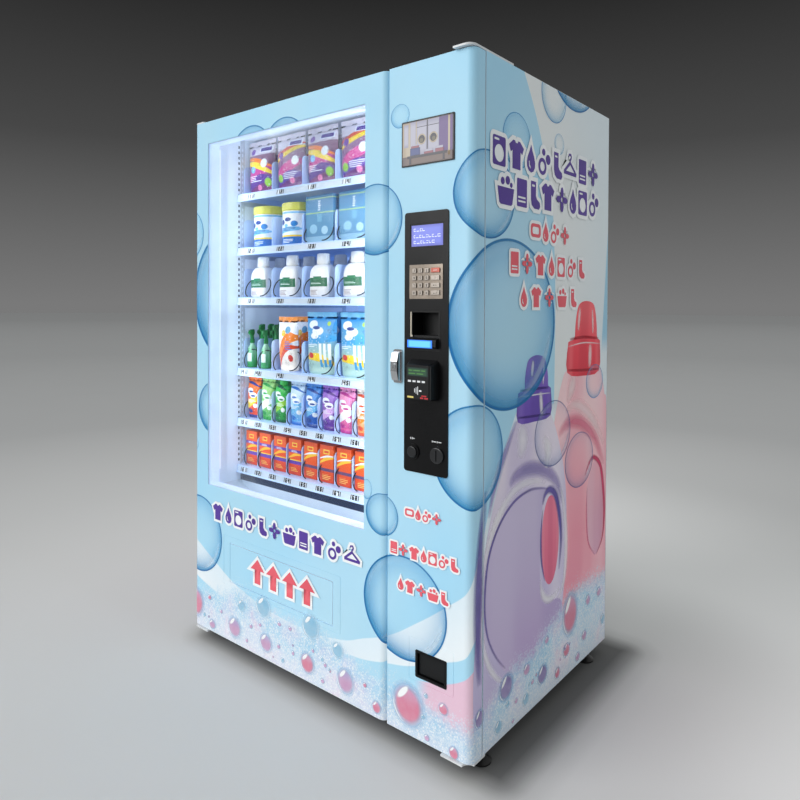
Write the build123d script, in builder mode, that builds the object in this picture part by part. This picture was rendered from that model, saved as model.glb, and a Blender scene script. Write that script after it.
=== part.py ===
from build123d import *
import os

# Upright glass-front vending machine for laundry supplies.
# Layout coordinates used below: x runs 0..W across the front (left to right as seen by a
# customer), y runs from the door skins (0) into the machine, z runs up from the floor.
# X0 and Y0 carry the layout into the row frame: origin on the floor under the middle of the
# whole machine, -Y towards the customer.

os.makedirs("parts", exist_ok=True)

# ------------------------------------------------------------------ driving dimensions (mm)
W = 1185.0            # overall width
D = 838.0             # door skin to rear panel
H = 1830.0            # top of the cabinet
READER_OUT = 32.0     # how far the card reader stands out of the door
X0 = -W / 2
Y0 = -(D - READER_OUT) / 2
SHEET = 2.0           # sheet metal thickness

CAB_Y = 54.0          # front plane of the cabinet, behind the doors
CAB_Z = 44.0          # underside of the cabinet
DOOR_T = 50.0         # door depth
DOOR_ZB, DOOR_ZT = 44.0, 1828.0
WIN_X0, WIN_X1 = 0.0, 906.0        # window door
CTL_X0, CTL_X1 = 910.5, 1185.0     # control door
EDGE_R = 22.0                      # rolled edges of the doors

GLASS_X0, GLASS_X1, GLASS_Z0, GLASS_Z1 = 80.0, 824.0, 556.0, 1752.0     # window opening
FLAP_X0, FLAP_X1, FLAP_Z0, FLAP_Z1 = 207.0, 702.0, 245.0, 378.0         # delivery opening
FLAP_PIVOT = (9.0, 366.0)          # y, z of the flap's rod
PIN_IN, PIN_Y, PIN_R = 12.0, 12.0, 5.0   # door hinge pins: inset from the side, depth, radius

FASCIA = (970.0, 1112.0, 751.0, 1434.0)
DISPLAY = (988.0, 1099.0, 1340.0, 1403.0)
KEYPAD = (988.0, 1096.0, 1207.0, 1296.0)
KEY_X = [1005.5, 1026.0, 1046.5]
KEY_WIDE_X = 1074.0
KEY_Z = [1280.5, 1261.2, 1241.9, 1222.6]
KEY_W, KEY_H, KEY_WIDE_W = 13.0, 12.0, 27.0
BILL = (993.0, 1087.0, 1073.0, 1176.0)
READER = (989.0, 1083.0, 945.0, 1049.0)
BUTTON = (1002.0, 805.0)           # coin return button centre
COIN = (1080.0, 805.0)             # coin entry centre
CUP = (1015.0, 1106.0, 215.0, 277.0)
PICTURE = (958.0, 1128.0, 1556.0, 1675.0)
LOCK = (947.75, 1027.0)            # lock axis x, z

LINER_X0, LINER_X1 = 62.0, 864.0   # product compartment, outside faces of its walls
LINER_TOP = 1797.0
TRAY_X0, TRAY_X1 = 67.0, 859.0
TRAY_Y0, TRAY_Y1 = 138.0, 700.0
TRAY_Z = {"a": 1592.0, "b": 1396.0, "c": 1215.0, "d": 957.0, "e": 773.0, "f": 600.0}
LANE = 79.0                        # narrow lane pitch
LANE_X0 = 68.0
DIVIDER_H = 108.0
WIRE_R = 2.0
# lanes of each tray: (lane centre, kind); kinds: s = one small coil, d = a pair, b = one big
LANES = {
    "a": [(LANE_X0 + LANE * (2 * i + 1), "b") for i in range(5)],
    "b": [(LANE_X0 + LANE * (2 * i + 1), "b" if i < 2 else "d") for i in range(5)],
    "c": [(LANE_X0 + LANE * (2 * i + 1), "d") for i in range(5)],
    "d": [(LANE_X0 + LANE * 0.5, "s"), (LANE_X0 + LANE * 1.5, "s")]
    + [(LANE_X0 + LANE * (2 * i + 1), "d") for i in range(1, 5)],
    "e": [(LANE_X0 + LANE * (i + 0.5), "s") for i in range(10)],
    "f": [(LANE_X0 + LANE * (i + 0.5), "s") for i in range(10)],
}
COIL_FRONT_Y, COIL_HUB_Y = 147.0, 688.0
SMALL_R, BIG_R = 31.0, 60.0        # coil radii to the wire's centre
SMALL_AX, BIG_AX = 36.5, 65.5      # coil axis above the tray floor
PAIR = 36.5                        # half distance between the coils of a pair
SMALL_TURNS, PAIR_TURNS, BIG_TURNS = 9, 7, 5
BORE_R = 4.05                      # motor bore, for a 4.0 radius stub

FOOT_X, FOOT_Y = [30.0, W - 30.0], [92.0, 740.0]


# ------------------------------------------------------------------ working helpers
def front_plane(y):
    """Plane parallel to the front at depth y: local x is +X, local y is +Z, normal is -Y."""
    return Plane(origin=(0, Y0 + y, 0), x_dir=(1, 0, 0), z_dir=(0, -1, 0))


def block(x0, x1, y0, y1, z0, z1, mode=Mode.ADD):
    """Prism with its faces at the given layout coordinates."""
    with BuildSketch(Plane.XY.offset(z0)) as foot:
        with Locations((X0 + (x0 + x1) / 2, Y0 + (y0 + y1) / 2)):
            Rectangle(x1 - x0, y1 - y0)
    extrude(to_extrude=foot.sketch, amount=z1 - z0, mode=mode)


def plate(x0, x1, z0, z1, y0, y1, r=0.0, mode=Mode.ADD):
    """Upright plate facing the customer, with rounded corners, from depth y0 to y1."""
    with BuildSketch(front_plane(y1)) as face:
        with Locations((X0 + (x0 + x1) / 2, (z0 + z1) / 2)):
            if r > 0:
                RectangleRounded(x1 - x0, z1 - z0, r)
            else:
                Rectangle(x1 - x0, z1 - z0)
    extrude(to_extrude=face.sketch, amount=y1 - y0, mode=mode)


def disc(x, z, r, y0, y1, mode=Mode.ADD):
    """Round bar or hole along y."""
    with BuildSketch(front_plane(y1)) as face:
        with Locations((X0 + x, z)):
            Circle(r)
    extrude(to_extrude=face.sketch, amount=y1 - y0, mode=mode)


def post(x, y, r, z0, z1, mode=Mode.ADD):
    """Round bar or hole along z."""
    with BuildSketch(Plane.XY.offset(z0)) as foot:
        with Locations((X0 + x, Y0 + y)):
            Circle(r)
    extrude(to_extrude=foot.sketch, amount=z1 - z0, mode=mode)


def rod(x0, x1, y, z, r, mode=Mode.ADD):
    """Round bar or hole along x."""
    with BuildSketch(Plane(origin=(X0 + x0, 0, 0), x_dir=(0, 1, 0), z_dir=(1, 0, 0))) as end:
        with Locations((Y0 + y, z)):
            Circle(r)
    extrude(to_extrude=end.sketch, amount=x1 - x0, mode=mode)


def frame_ring(x0, x1, z0, z1, w, y0, y1, r, mode=Mode.ADD):
    """Rectangular ring of width w, outside edge at the given coordinates."""
    with BuildSketch(front_plane(y1)) as face:
        with Locations((X0 + (x0 + x1) / 2, (z0 + z1) / 2)):
            RectangleRounded(x1 - x0, z1 - z0, r)
            RectangleRounded(x1 - x0 - 2 * w, z1 - z0 - 2 * w, max(r - w, 0.5), mode=Mode.SUBTRACT)
    extrude(to_extrude=face.sketch, amount=y1 - y0, mode=mode)


def save(builder, name):
    builder.part.label = name
    export_step(builder.part, f"parts/{name}.step")


def save_welded(name, *builders):
    """One piece made of several welded sheets: each sheet stays a solid of its own."""
    piece = Compound(label=name, children=[solid for b in builders for solid in b.part.solids()])
    export_step(piece, f"parts/{name}.step")


def sheet(*corners):
    """A flat sheet given by its layout coordinates."""
    with BuildPart() as flat:
        block(*corners)
    return flat


# ------------------------------------------------------------------ cabinet
# bent side panels with a 20 mm return at the front and the back
side_sheets = []
for xa, xb, xr in ((0, SHEET, 20), (W - SHEET, W, W - 20)):
    lo, hi = min(xa, xb, xr), max(xa, xb, xr)
    side_sheets += [
        sheet(xa, xb, CAB_Y, D - SHEET, CAB_Z + SHEET, H - SHEET),
        sheet(lo + (SHEET if xa == 0 else 0), hi - (0 if xa == 0 else SHEET), CAB_Y, CAB_Y + SHEET, CAB_Z + SHEET, H - SHEET),
        sheet(lo + (SHEET if xa == 0 else 0), hi - (0 if xa == 0 else SHEET), D - 2 * SHEET, D - SHEET, CAB_Z + SHEET, H - SHEET),
    ]
roof_sheet = sheet(0, W, CAB_Y, D - SHEET, H - SHEET, H)
header_sheet = sheet(20, W - 20, CAB_Y, CAB_Y + SHEET, H - 30, H - SHEET)
sill_sheet = sheet(20, W - 20, CAB_Y, CAB_Y + SHEET, CAB_Z + SHEET, CAB_Z + 60)
with BuildPart() as floor_pan:
    block(0, W, CAB_Y, D - SHEET, CAB_Z, CAB_Z + SHEET)
    # clearance holes for the levelling studs
    for fx in FOOT_X:
        for fy in FOOT_Y:
            post(fx, fy, 7.0, CAB_Z - 1, CAB_Z + SHEET + 1, Mode.SUBTRACT)
save_welded("cabinet_shell", *side_sheets, roof_sheet, header_sheet, sill_sheet, floor_pan)

with BuildPart() as rear_panel:
    plate(0, W, CAB_Z, H, D - SHEET, D, r=1.0)
    # two louvre fields
    for zc, rows in ((250.0, 8), (1650.0, 6)):
        with BuildSketch(front_plane(D + 1)) as vents:
            with Locations((0, zc)):
                with GridLocations(110, 16, 6, rows):
                    SlotOverall(90, 6)
        extrude(to_extrude=vents.sketch, amount=SHEET + 2, mode=Mode.SUBTRACT)
    # opening for the mains inlet
    plate(1038, 1072, 118, 144, D - SHEET - 1, D + 1, mode=Mode.SUBTRACT)
save(rear_panel, "rear_panel")

# product compartment: walls, roof, deck under the lowest tray, back wall
save_welded(
    "inner_liner",
    sheet(LINER_X0, LINER_X0 + SHEET, 58, 792, CAB_Z + SHEET, LINER_TOP),
    sheet(LINER_X1 - SHEET, LINER_X1, 58, 792, CAB_Z + SHEET, LINER_TOP),
    sheet(LINER_X0, LINER_X1, 58, 792, LINER_TOP, LINER_TOP + SHEET),
    sheet(LINER_X0 + SHEET, LINER_X1 - SHEET, 160, 790, 540, 542),
    sheet(LINER_X0 + SHEET, LINER_X1 - SHEET, 790, 792, CAB_Z + SHEET, LINER_TOP),
    # latch strike: a lip folded out of the partition towards the control door
    sheet(LINER_X1, 905, 58, 60, 960, 1094),
)

RAIL_DROP = 22.0
with BuildPart() as tray_rails:
    # slotted uprights, front and rear, on both walls
    for xa, xb in ((LINER_X0 + SHEET, LINER_X0 + SHEET + 1.5), (LINER_X1 - SHEET - 1.5, LINER_X1 - SHEET)):
        for ya in (150.0, 690.0):
            block(xa, xb, ya, ya + 20, 542, LINER_TOP)
    with BuildSketch(Plane(origin=(X0 + LINER_X0, Y0, 0), x_dir=(0, 1, 0), z_dir=(1, 0, 0))) as slots:
        for ya in (160.0, 700.0):
            with Locations((ya, 1170)):
                with GridLocations(1, 20, 1, 60):
                    SlotOverall(11, 6, rotation=90)
    extrude(to_extrude=slots.sketch, amount=LINER_X1 - LINER_X0, mode=Mode.SUBTRACT)
    # angle runners that carry the trays
    for zf in TRAY_Z.values():
        zr = zf - RAIL_DROP
        block(65.5, 80, 150, 710, zr - 1.5, zr)
        block(65.5, 67, 150, 710, zr - 16, zr - 1.5)
        block(LINER_X1 - SHEET - 16, LINER_X1 - SHEET - 1.5, 150, 710, zr - 1.5, zr)
        block(LINER_X1 - SHEET - 3, LINER_X1 - SHEET - 1.5, 150, 710, zr - 16, zr - 1.5)
save(tray_rails, "tray_rails")

with BuildPart() as base_frame:
    # two channels across the underside take the levelling studs
    for fy in FOOT_Y:
        block(16, W - 16, fy - 22, fy + 22, CAB_Z - 3, CAB_Z)
        block(16, W - 16, fy - 22, fy - 19, CAB_Z - 14, CAB_Z - 3)
        block(16, W - 16, fy + 19, fy + 22, CAB_Z - 14, CAB_Z - 3)
        for fx in FOOT_X:
            post(fx, fy, 6.3, CAB_Z - 5, CAB_Z + 1, Mode.SUBTRACT)
save(base_frame, "base_frame")

feet = []
for fx in FOOT_X:
    for fy in FOOT_Y:
        with BuildPart() as foot:
            with BuildSketch(Plane(origin=(X0 + fx, Y0 + fy, 0), x_dir=(1, 0, 0), z_dir=(0, -1, 0))) as half:
                with BuildLine():
                    Polyline((0, 0), (27, 0), (29, 2), (29, 5), (26, 7), (15, 15), (11, 23), (11, 28),
                             (6, 28), (6, 60), (0, 60), (0, 0))
                make_face()
            revolve(profiles=half.sketch, axis=Axis((X0 + fx, Y0 + fy, 0), (0, 0, 1)))
        with BuildPart() as nut:
            with BuildSketch(Plane.XY.offset(CAB_Z + SHEET)) as hexagon:
                with Locations((X0 + fx, Y0 + fy)):
                    RegularPolygon(10.5, 6)
                    Circle(6.0, mode=Mode.SUBTRACT)
            extrude(to_extrude=hexagon.sketch, amount=8)
        feet += [foot, nut]
save_welded("leveling_feet", *feet)

PLATE_T = 5.0
with BuildPart() as door_hinges:
    # roof plate over the control door: rounded corner standing proud of the door, arm along the side
    with BuildSketch(Plane.XY.offset(H)) as top_right:
        with BuildLine():
            Polyline((X0 + 1128, Y0 - 12), (X0 + W - 22, Y0 - 12))
            RadiusArc((X0 + W - 22, Y0 - 12), (X0 + W, Y0 + 10), -22)
            Polyline((X0 + W, Y0 + 10), (X0 + W, Y0 + 190), (X0 + W - 24, Y0 + 190),
                     (X0 + W - 24, Y0 + 84), (X0 + 1128, Y0 + 84), (X0 + 1128, Y0 - 12))
        make_face()
    extrude(to_extrude=top_right.sketch, amount=PLATE_T)
    # smaller roof plate over the window door
    with BuildSketch(Plane.XY.offset(H)) as top_left:
        with Locations((X0 + 26, Y0 + 46)):
            RectangleRounded(48, 84, 8)
    extrude(to_extrude=top_left.sketch, amount=PLATE_T)
    # foot plates under both doors, each with a rounded front corner
    for d, xs in ((1, X0), (-1, X0 + W)):
        with BuildSketch(Plane.XY.offset(CAB_Z - PLATE_T - 1)) as bottom:
            with BuildLine():
                Polyline((xs + 22 * d, Y0 - 7), (xs + 88 * d, Y0 - 7), (xs + 88 * d, Y0 + 66),
                         (xs, Y0 + 66), (xs, Y0 + 15))
                RadiusArc((xs, Y0 + 15), (xs + 22 * d, Y0 - 7), -22 if d < 0 else 22)
            make_face()
        extrude(to_extrude=bottom.sketch, amount=PLATE_T)
        # spacer block that ties the foot plate to the cabinet floor
        block(xs - X0 + (30 if d > 0 else -86), xs - X0 + (86 if d > 0 else -30), 54.5, 66,
              CAB_Z - 1, CAB_Z)
    for px in (PIN_IN, W - PIN_IN):
        post(px, PIN_Y, PIN_R, H - 16, H)
        post(px, PIN_Y, PIN_R, CAB_Z - 1, CAB_Z + 14)
save(door_hinges, "door_hinges")

# funnel under the trays: each wall is a separate welded panel
HX0, HX1 = 126.0, 800.0
hopper_profile = Plane(origin=(X0 + HX0, 0, 0), x_dir=(0, 1, 0), z_dir=(1, 0, 0))
hopper_top = sheet(67.5, 858.5, 150, 152, 542, 566)
hopper_low_back = sheet(HX0, HX1, 250, 252, 222, 396)
with BuildPart() as hopper_back:
    with BuildSketch(front_plane(152)) as back_upper:
        with BuildLine():
            Polyline((X0 + 64, 542), (X0 + HX0, 510), (X0 + HX0, 440), (X0 + HX1, 440), (X0 + HX1, 510),
                     (X0 + 862, 542), (X0 + 64, 542))
        make_face()
    extrude(to_extrude=back_upper.sketch, amount=2)
with BuildPart() as hopper_slope:
    with BuildSketch(hopper_profile) as back_slope:
        with BuildLine():
            Polyline((Y0 + 150, 440), (Y0 + 152, 440), (Y0 + 252, 396), (Y0 + 250, 396), (Y0 + 150, 440))
        make_face()
    extrude(to_extrude=back_slope.sketch, amount=HX1 - HX0)
with BuildPart() as hopper_floor:
    with BuildSketch(hopper_profile) as bin_floor:
        with BuildLine():
            Polyline((Y0 + 60, 214), (Y0 + 252, 220), (Y0 + 252, 222), (Y0 + 60, 216), (Y0 + 60, 214))
        make_face()
    extrude(to_extrude=bin_floor.sketch, amount=HX1 - HX0)
# side walls: upright in the bin, leaning outwards to the width of the trays at the top
hopper_sides = []
for xs, xo, d in ((HX0, 64, 1), (HX1, 862, -1)):
    with BuildPart() as cheek:
        with BuildSketch(Plane(origin=(X0 + xs - (2 if d > 0 else 0), 0, 0), x_dir=(0, 1, 0), z_dir=(1, 0, 0))) as upright:
            with BuildLine():
                Polyline((Y0 + 60, 214), (Y0 + 252, 220), (Y0 + 252, 396), (Y0 + 152, 440), (Y0 + 150, 510),
                         (Y0 + 60, 510), (Y0 + 60, 214))
            make_face()
        extrude(to_extrude=upright.sketch, amount=2)
    with BuildPart() as chute:
        with BuildSketch(front_plane(150)) as lean:
            with BuildLine():
                Polyline((X0 + xs - 2 * d, 510), (X0 + xs, 510), (X0 + xo, 542), (X0 + xo, 539.8),
                         (X0 + xs - 2 * d, 510))
            make_face()
        extrude(to_extrude=lean.sketch, amount=90)
    hopper_sides += [cheek, chute]
save_welded("delivery_hopper", hopper_top, hopper_back, hopper_slope, hopper_low_back, hopper_floor, *hopper_sides)

with BuildPart() as power_supply:
    block(900, 1060, 640, 792, 70, 230)
    block(1040, 1070, 792, 835.5, 120, 142)       # mains inlet block reaching the rear panel
    with BuildSketch(front_plane(792)) as cooling:
        with Locations((X0 + 940, 150)):
            with GridLocations(12, 24, 4, 4):
                Circle(3)
    extrude(to_extrude=cooling.sketch, amount=6, mode=Mode.SUBTRACT)
save(power_supply, "power_supply")


# ------------------------------------------------------------------ doors
def door_skin(x0, x1, r0, r1, fronts, pin_x, pressed, lock=None):
    """Folded door pan, sheet by sheet: the front sheet round its openings, rolled front edges, returns to the back,
    a 12 mm lip round the open back, and a plate across the head and the foot."""
    sheets = []
    for xa, xb, za, zb in fronts:
        with BuildPart() as front:
            block(xa, xb, 0, SHEET, za, zb)
            frame_ring(*pressed, 1.6, -0.5, 0.7, 5, Mode.SUBTRACT)
            if lock and xa < lock[0] < xb and za < lock[1] < zb:
                disc(lock[0], lock[1], 9.0, -1, SHEET + 0.5, Mode.SUBTRACT)
        sheets.append(front)
    lo, hi = DOOR_ZB + SHEET, DOOR_ZT - SHEET
    for edge, r, d in ((x0, r0, 1), (x1, r1, -1)):
        inner = max(r - SHEET, 1.0)
        # rolled edge: a quarter ring between the front sheet and the return
        with BuildPart() as rolled:
            with BuildSketch(Plane.XY.offset(lo)) as quarter:
                with Locations((X0 + edge + d * r, Y0 + r)):
                    Circle(r)
                    Circle(inner, mode=Mode.SUBTRACT)
                with Locations((X0 + edge + d * r / 2, Y0 + r / 2)):
                    Rectangle(r, r, mode=Mode.INTERSECT)
            extrude(to_extrude=quarter.sketch, amount=hi - lo)
        sheets.append(rolled)
        sheets.append(sheet(min(edge, edge + d * SHEET), max(edge, edge + d * SHEET), r, DOOR_T, lo, hi))
        sheets.append(sheet(min(edge + d * SHEET, edge + d * 14), max(edge + d * SHEET, edge + d * 14), DOOR_T - SHEET, DOOR_T, lo, hi))
    for za, zb in ((DOOR_ZB, lo), (hi, DOOR_ZT)):
        with BuildPart() as end_plate:
            with BuildSketch(Plane.XY.offset(za)) as outline:
                with BuildLine():
                    Polyline((X0 + x0, Y0 + r0), (X0 + x0, Y0 + DOOR_T), (X0 + x1, Y0 + DOOR_T), (X0 + x1, Y0 + r1))
                    RadiusArc((X0 + x1, Y0 + r1), (X0 + x1 - r1, Y0), r1)
                    Line((X0 + x1 - r1, Y0), (X0 + x0 + r0, Y0))
                    RadiusArc((X0 + x0 + r0, Y0), (X0 + x0, Y0 + r0), r0)
                make_face()
            extrude(to_extrude=outline.sketch, amount=zb - za)
            post(pin_x, PIN_Y, PIN_R + 0.08, za - 1, zb + 1, Mode.SUBTRACT)
        sheets.append(end_plate)
    sheets.append(sheet(x0 + 14, x1 - 14, DOOR_T - SHEET, DOOR_T, lo, DOOR_ZB + 14))
    sheets.append(sheet(x0 + 14, x1 - 14, DOOR_T - SHEET, DOOR_T, DOOR_ZT - 14, hi))
    return sheets


def round_openings(x0, x1, z0, z1, holes):
    """Rectangles that cover a sheet round its openings, given from the lowest up as (x0, x1, z0, z1)."""
    pieces, at = [], z0
    for ha, hb, hc, hd in holes:
        pieces += [(x0, x1, at, hc), (x0, ha, hc, hd), (hb, x1, hc, hd)]
        at = hd
    return pieces + [(x0, x1, at, z1)]


save_welded("window_door_skin", *door_skin(
    WIN_X0, WIN_X1, EDGE_R, EDGE_R,
    round_openings(WIN_X0 + EDGE_R, WIN_X1 - EDGE_R, DOOR_ZB + SHEET, DOOR_ZT - SHEET,
                   [(FLAP_X0, FLAP_X1, FLAP_Z0, FLAP_Z1), (GLASS_X0, GLASS_X1, GLASS_Z0, GLASS_Z1)]),
    PIN_IN, (173, 733, 230, 401)))

# inner pan of the window door: back sheet, reveal from the glass to the back, reveal of the delivery opening
LEFT_LINER, RIGHT_LINER, LOW_LINER, HIGH_LINER = WIN_X0 + 4, WIN_X1 - 4, DOOR_ZB + 4, DOOR_ZT - 4
GX0, GX1, GZ0, GZ1 = GLASS_X0 - 2, GLASS_X1 + 2, GLASS_Z0 - 2, GLASS_Z1 + 2
liner_sheets = [sheet(xa, xb, 46, 48, za, zb) for xa, xb, za, zb in
                round_openings(LEFT_LINER, RIGHT_LINER, LOW_LINER, HIGH_LINER, [(205, 704, 228, 380), (GX0, GX1, GZ0, GZ1)])]
liner_sheets += [
    sheet(GX0, GX0 + 2, 8, 48, GZ0, GZ1), sheet(GX1 - 2, GX1, 8, 48, GZ0, GZ1),
    sheet(GX0 + 2, GX1 - 2, 8, 48, GZ0, GZ0 + 2), sheet(GX0 + 2, GX1 - 2, 8, 48, GZ1 - 2, GZ1),
    sheet(203, 706, 2, 46, 380, 382), sheet(203, 706, 2, 46, 226, 228),
]
for xa in (203, 704):
    # cheeks of the delivery opening carry the flap's rod
    with BuildPart() as cheek:
        block(xa, xa + 2, 2, 46, 228, 380)
        rod(xa - 1, xa + 3, FLAP_PIVOT[0], FLAP_PIVOT[1], 4.05, Mode.SUBTRACT)
    liner_sheets.append(cheek)
save_welded("window_door_liner", *liner_sheets)

with BuildPart() as window_glass:
    plate(GLASS_X0 - 8, GLASS_X1 + 8, GLASS_Z0 - 8, GLASS_Z1 + 8, 4, 8, r=3)
save(window_glass, "window_glass")

with BuildPart() as window_gasket:
    frame_ring(GLASS_X0 - 10, GLASS_X1 + 10, GLASS_Z0 - 10, GLASS_Z1 + 10, 12, 2, 4, 5)
save(window_gasket, "window_gasket")

with BuildPart() as led_strips:
    for xa in (66.0, 828.0):
        block(xa, xa + 11, 48, 56, 600, 1740)
save(led_strips, "led_strips")

with BuildPart() as flap_face:
    plate(FLAP_X0 + 2, FLAP_X1 - 2, FLAP_Z0 + 2, FLAP_Z1 - 2, 0, 2.5, r=3)
# folded rim behind the plate, with the pivot rod through its ends
flap_rims = [
    sheet(FLAP_X0 + 4, FLAP_X0 + 6, 2.5, 14, FLAP_Z0 + 6, FLAP_Z1 - 6),
    sheet(FLAP_X1 - 6, FLAP_X1 - 4, 2.5, 14, FLAP_Z0 + 6, FLAP_Z1 - 6),
    sheet(FLAP_X0 + 6, FLAP_X1 - 6, 2.5, 12, FLAP_Z0 + 6, FLAP_Z0 + 8),
]
flap_rods = []
for xa, xb in ((203.5, FLAP_X0 + 4), (FLAP_X0 + 6, FLAP_X1 - 6), (FLAP_X1 - 4, 705.5)):
    with BuildPart() as pivot:
        rod(xa, xb, FLAP_PIVOT[0], FLAP_PIVOT[1], 4.0)
    flap_rods.append(pivot)
save_welded("delivery_flap", flap_face, *flap_rims, *flap_rods)

save_welded("control_door_skin", *door_skin(
    CTL_X0, CTL_X1, 3.0, EDGE_R,
    round_openings(CTL_X0 + 3.0, CTL_X1 - EDGE_R, DOOR_ZB + SHEET, DOOR_ZT - SHEET,
                   [CUP, (FASCIA[0] + 8, FASCIA[1] - 8, FASCIA[2] + 8, FASCIA[3] - 8),
                    (PICTURE[0] + 5, PICTURE[1] - 5, PICTURE[2] + 5, PICTURE[3] - 5)]),
    W - PIN_IN, (988, 1133, 197, 312), LOCK))

# inner pan of the control door, with a shelf bracket for the coin mechanism
control_sheets = []
for xa, xb, za, zb in round_openings(CTL_X0 + 4, CTL_X1 - 4, DOOR_ZB + 4, DOOR_ZT - 4, [(1008, 1113, 208, 284), (966, 1130, 700, 1470)]):
    with BuildPart() as back_sheet:
        block(xa, xb, 46, 48, za, zb)
        if xa < LOCK[0] < xb and za < LOCK[1] < zb:
            disc(LOCK[0], LOCK[1], 9.0, 45, 49, Mode.SUBTRACT)
    control_sheets.append(back_sheet)
save_welded("control_door_liner", *control_sheets, sheet(980, 1110, 48, 140, 548, 550))

with BuildPart() as control_fascia:
    plate(*FASCIA, -3, 0, r=8)
    with BuildSketch(front_plane(1)) as cuts:
        with Locations((X0 + (DISPLAY[0] + DISPLAY[1]) / 2, (DISPLAY[2] + DISPLAY[3]) / 2)):
            RectangleRounded(DISPLAY[1] - DISPLAY[0], DISPLAY[3] - DISPLAY[2], 2)
        with Locations((X0 + (KEYPAD[0] + KEYPAD[1]) / 2, (KEYPAD[2] + KEYPAD[3]) / 2)):
            Rectangle(KEYPAD[1] - KEYPAD[0] - 8, KEYPAD[3] - KEYPAD[2] - 8)
        with Locations((X0 + (BILL[0] + BILL[1]) / 2, (BILL[2] + BILL[3]) / 2)):
            RectangleRounded(BILL[1] - BILL[0], BILL[3] - BILL[2], 2)
        with Locations((X0 + BUTTON[0], BUTTON[1])):
            Circle(15.0)
        with Locations((X0 + COIN[0], COIN[1])):
            Circle(16.0)
        with Locations((X0 + 1036, 997)):
            Circle(14.0)
    extrude(to_extrude=cuts.sketch, amount=6, mode=Mode.SUBTRACT)
    # raised collar round the coin return button
    with BuildSketch(front_plane(-3)) as collar:
        with Locations((X0 + BUTTON[0], BUTTON[1])):
            Circle(20.0)
            Circle(15.0, mode=Mode.SUBTRACT)
    extrude(to_extrude=collar.sketch, amount=4)
save(control_fascia, "control_fascia")

with BuildPart() as display_module:
    plate(DISPLAY[0] - 4, DISPLAY[1] + 4, DISPLAY[2] - 4, DISPLAY[3] + 4, 0, 20, r=2)
    plate(DISPLAY[0] + 0.4, DISPLAY[1] - 0.4, DISPLAY[2] + 0.4, DISPLAY[3] - 0.4, -2.2, 0, r=1.5)
save(display_module, "display_module")

KEY_CLEAR = 0.35
KEYS = {}
for row, names in enumerate((("1", "2", "3", "clear"), ("4", "5", "6", "info"), ("7", "8", "9", "back"), ("star", "0", "hash", "enter"))):
    for col, key in enumerate(names):
        KEYS[f"key_{key}"] = (KEY_X[col] if col < 3 else KEY_WIDE_X, KEY_Z[row], KEY_W if col < 3 else KEY_WIDE_W)

with BuildPart() as keypad_plate:
    plate(*KEYPAD, -5, -3, r=2)
    plate(KEYPAD[0] + 5, KEYPAD[1] - 5, KEYPAD[2] + 5, KEYPAD[3] - 5, -3, 14)
    plate(KEYPAD[0] + 7, KEYPAD[1] - 7, KEYPAD[2] + 7, KEYPAD[3] - 7, -3, 12, mode=Mode.SUBTRACT)
    for kx, kz, kw in KEYS.values():
        plate(kx - kw / 2 - KEY_CLEAR, kx + kw / 2 + KEY_CLEAR, kz - KEY_H / 2 - KEY_CLEAR, kz + KEY_H / 2 + KEY_CLEAR,
              -6, -2, r=1.8, mode=Mode.SUBTRACT)
save(keypad_plate, "keypad_plate")

for name, (kx, kz, kw) in KEYS.items():
    with BuildPart() as key:
        plate(kx - kw / 2, kx + kw / 2, kz - KEY_H / 2, kz + KEY_H / 2, -8, -2.7, r=1.5)
        fillet(key.faces().sort_by(Axis.Y)[0].edges(), radius=0.8)
        # retaining flange and plunger behind the plate
        plate(kx - kw / 2 - 1.4, kx + kw / 2 + 1.4, kz - KEY_H / 2 - 1.4, kz + KEY_H / 2 + 1.4, -2.7, -1.2, r=1.5)
        disc(kx, kz, 3.0, -1.2, 6)
    save(key, name)

with BuildPart() as bill_acceptor:
    plate(BILL[0] - 5, BILL[1] + 5, BILL[2] - 5, BILL[3] + 5, 0, 6, r=2)
    block(BILL[0] + 3, BILL[1] - 3, 6, 150, BILL[2] + 2, BILL[3] + 30)
    plate(BILL[0] + 0.5, BILL[1] - 0.5, BILL[2] + 0.5, BILL[3] - 0.5, -3, 0, r=2)
    # hooded recess above the mouth
    plate(BILL[0] + 5, BILL[1] - 5, 1112, BILL[3] - 4, -4, 42, r=2, mode=Mode.SUBTRACT)
    # snout with the note slot
    with BuildSketch(Plane(origin=(X0 + BILL[0] + 5, 0, 0), x_dir=(0, 1, 0), z_dir=(1, 0, 0))) as snout:
        with BuildLine():
            Polyline((Y0 - 3, 1078), (Y0 - 3, 1106), (Y0 - 13, 1101), (Y0 - 16, 1096), (Y0 - 16, 1084),
                     (Y0 - 13, 1080), (Y0 - 3, 1078))
        make_face()
    extrude(to_extrude=snout.sketch, amount=BILL[1] - BILL[0] - 10)
    plate(BILL[0] + 12, BILL[1] - 12, 1088.5, 1091.5, -17, 20, mode=Mode.SUBTRACT)
save(bill_acceptor, "bill_acceptor")

with BuildPart() as card_reader:
    with BuildSketch(front_plane(-3)) as back_face:
        with Locations((X0 + (READER[0] + READER[1]) / 2, (READER[2] + READER[3]) / 2)):
            RectangleRounded(READER[1] - READER[0], READER[3] - READER[2], 6)
    with BuildSketch(front_plane(-READER_OUT)) as front_face:
        with Locations((X0 + 1040, 992.5)):
            RectangleRounded(80, 88, 6)
    loft(sections=[back_face.sketch, front_face.sketch])
    # swipe groove down the right-hand side
    block(1073, 1075.5, -READER_OUT - 1, -14, 940, 1055, Mode.SUBTRACT)
    disc(1036, 997, 13.5, -3, 12)
save(card_reader, "card_reader")

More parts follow.
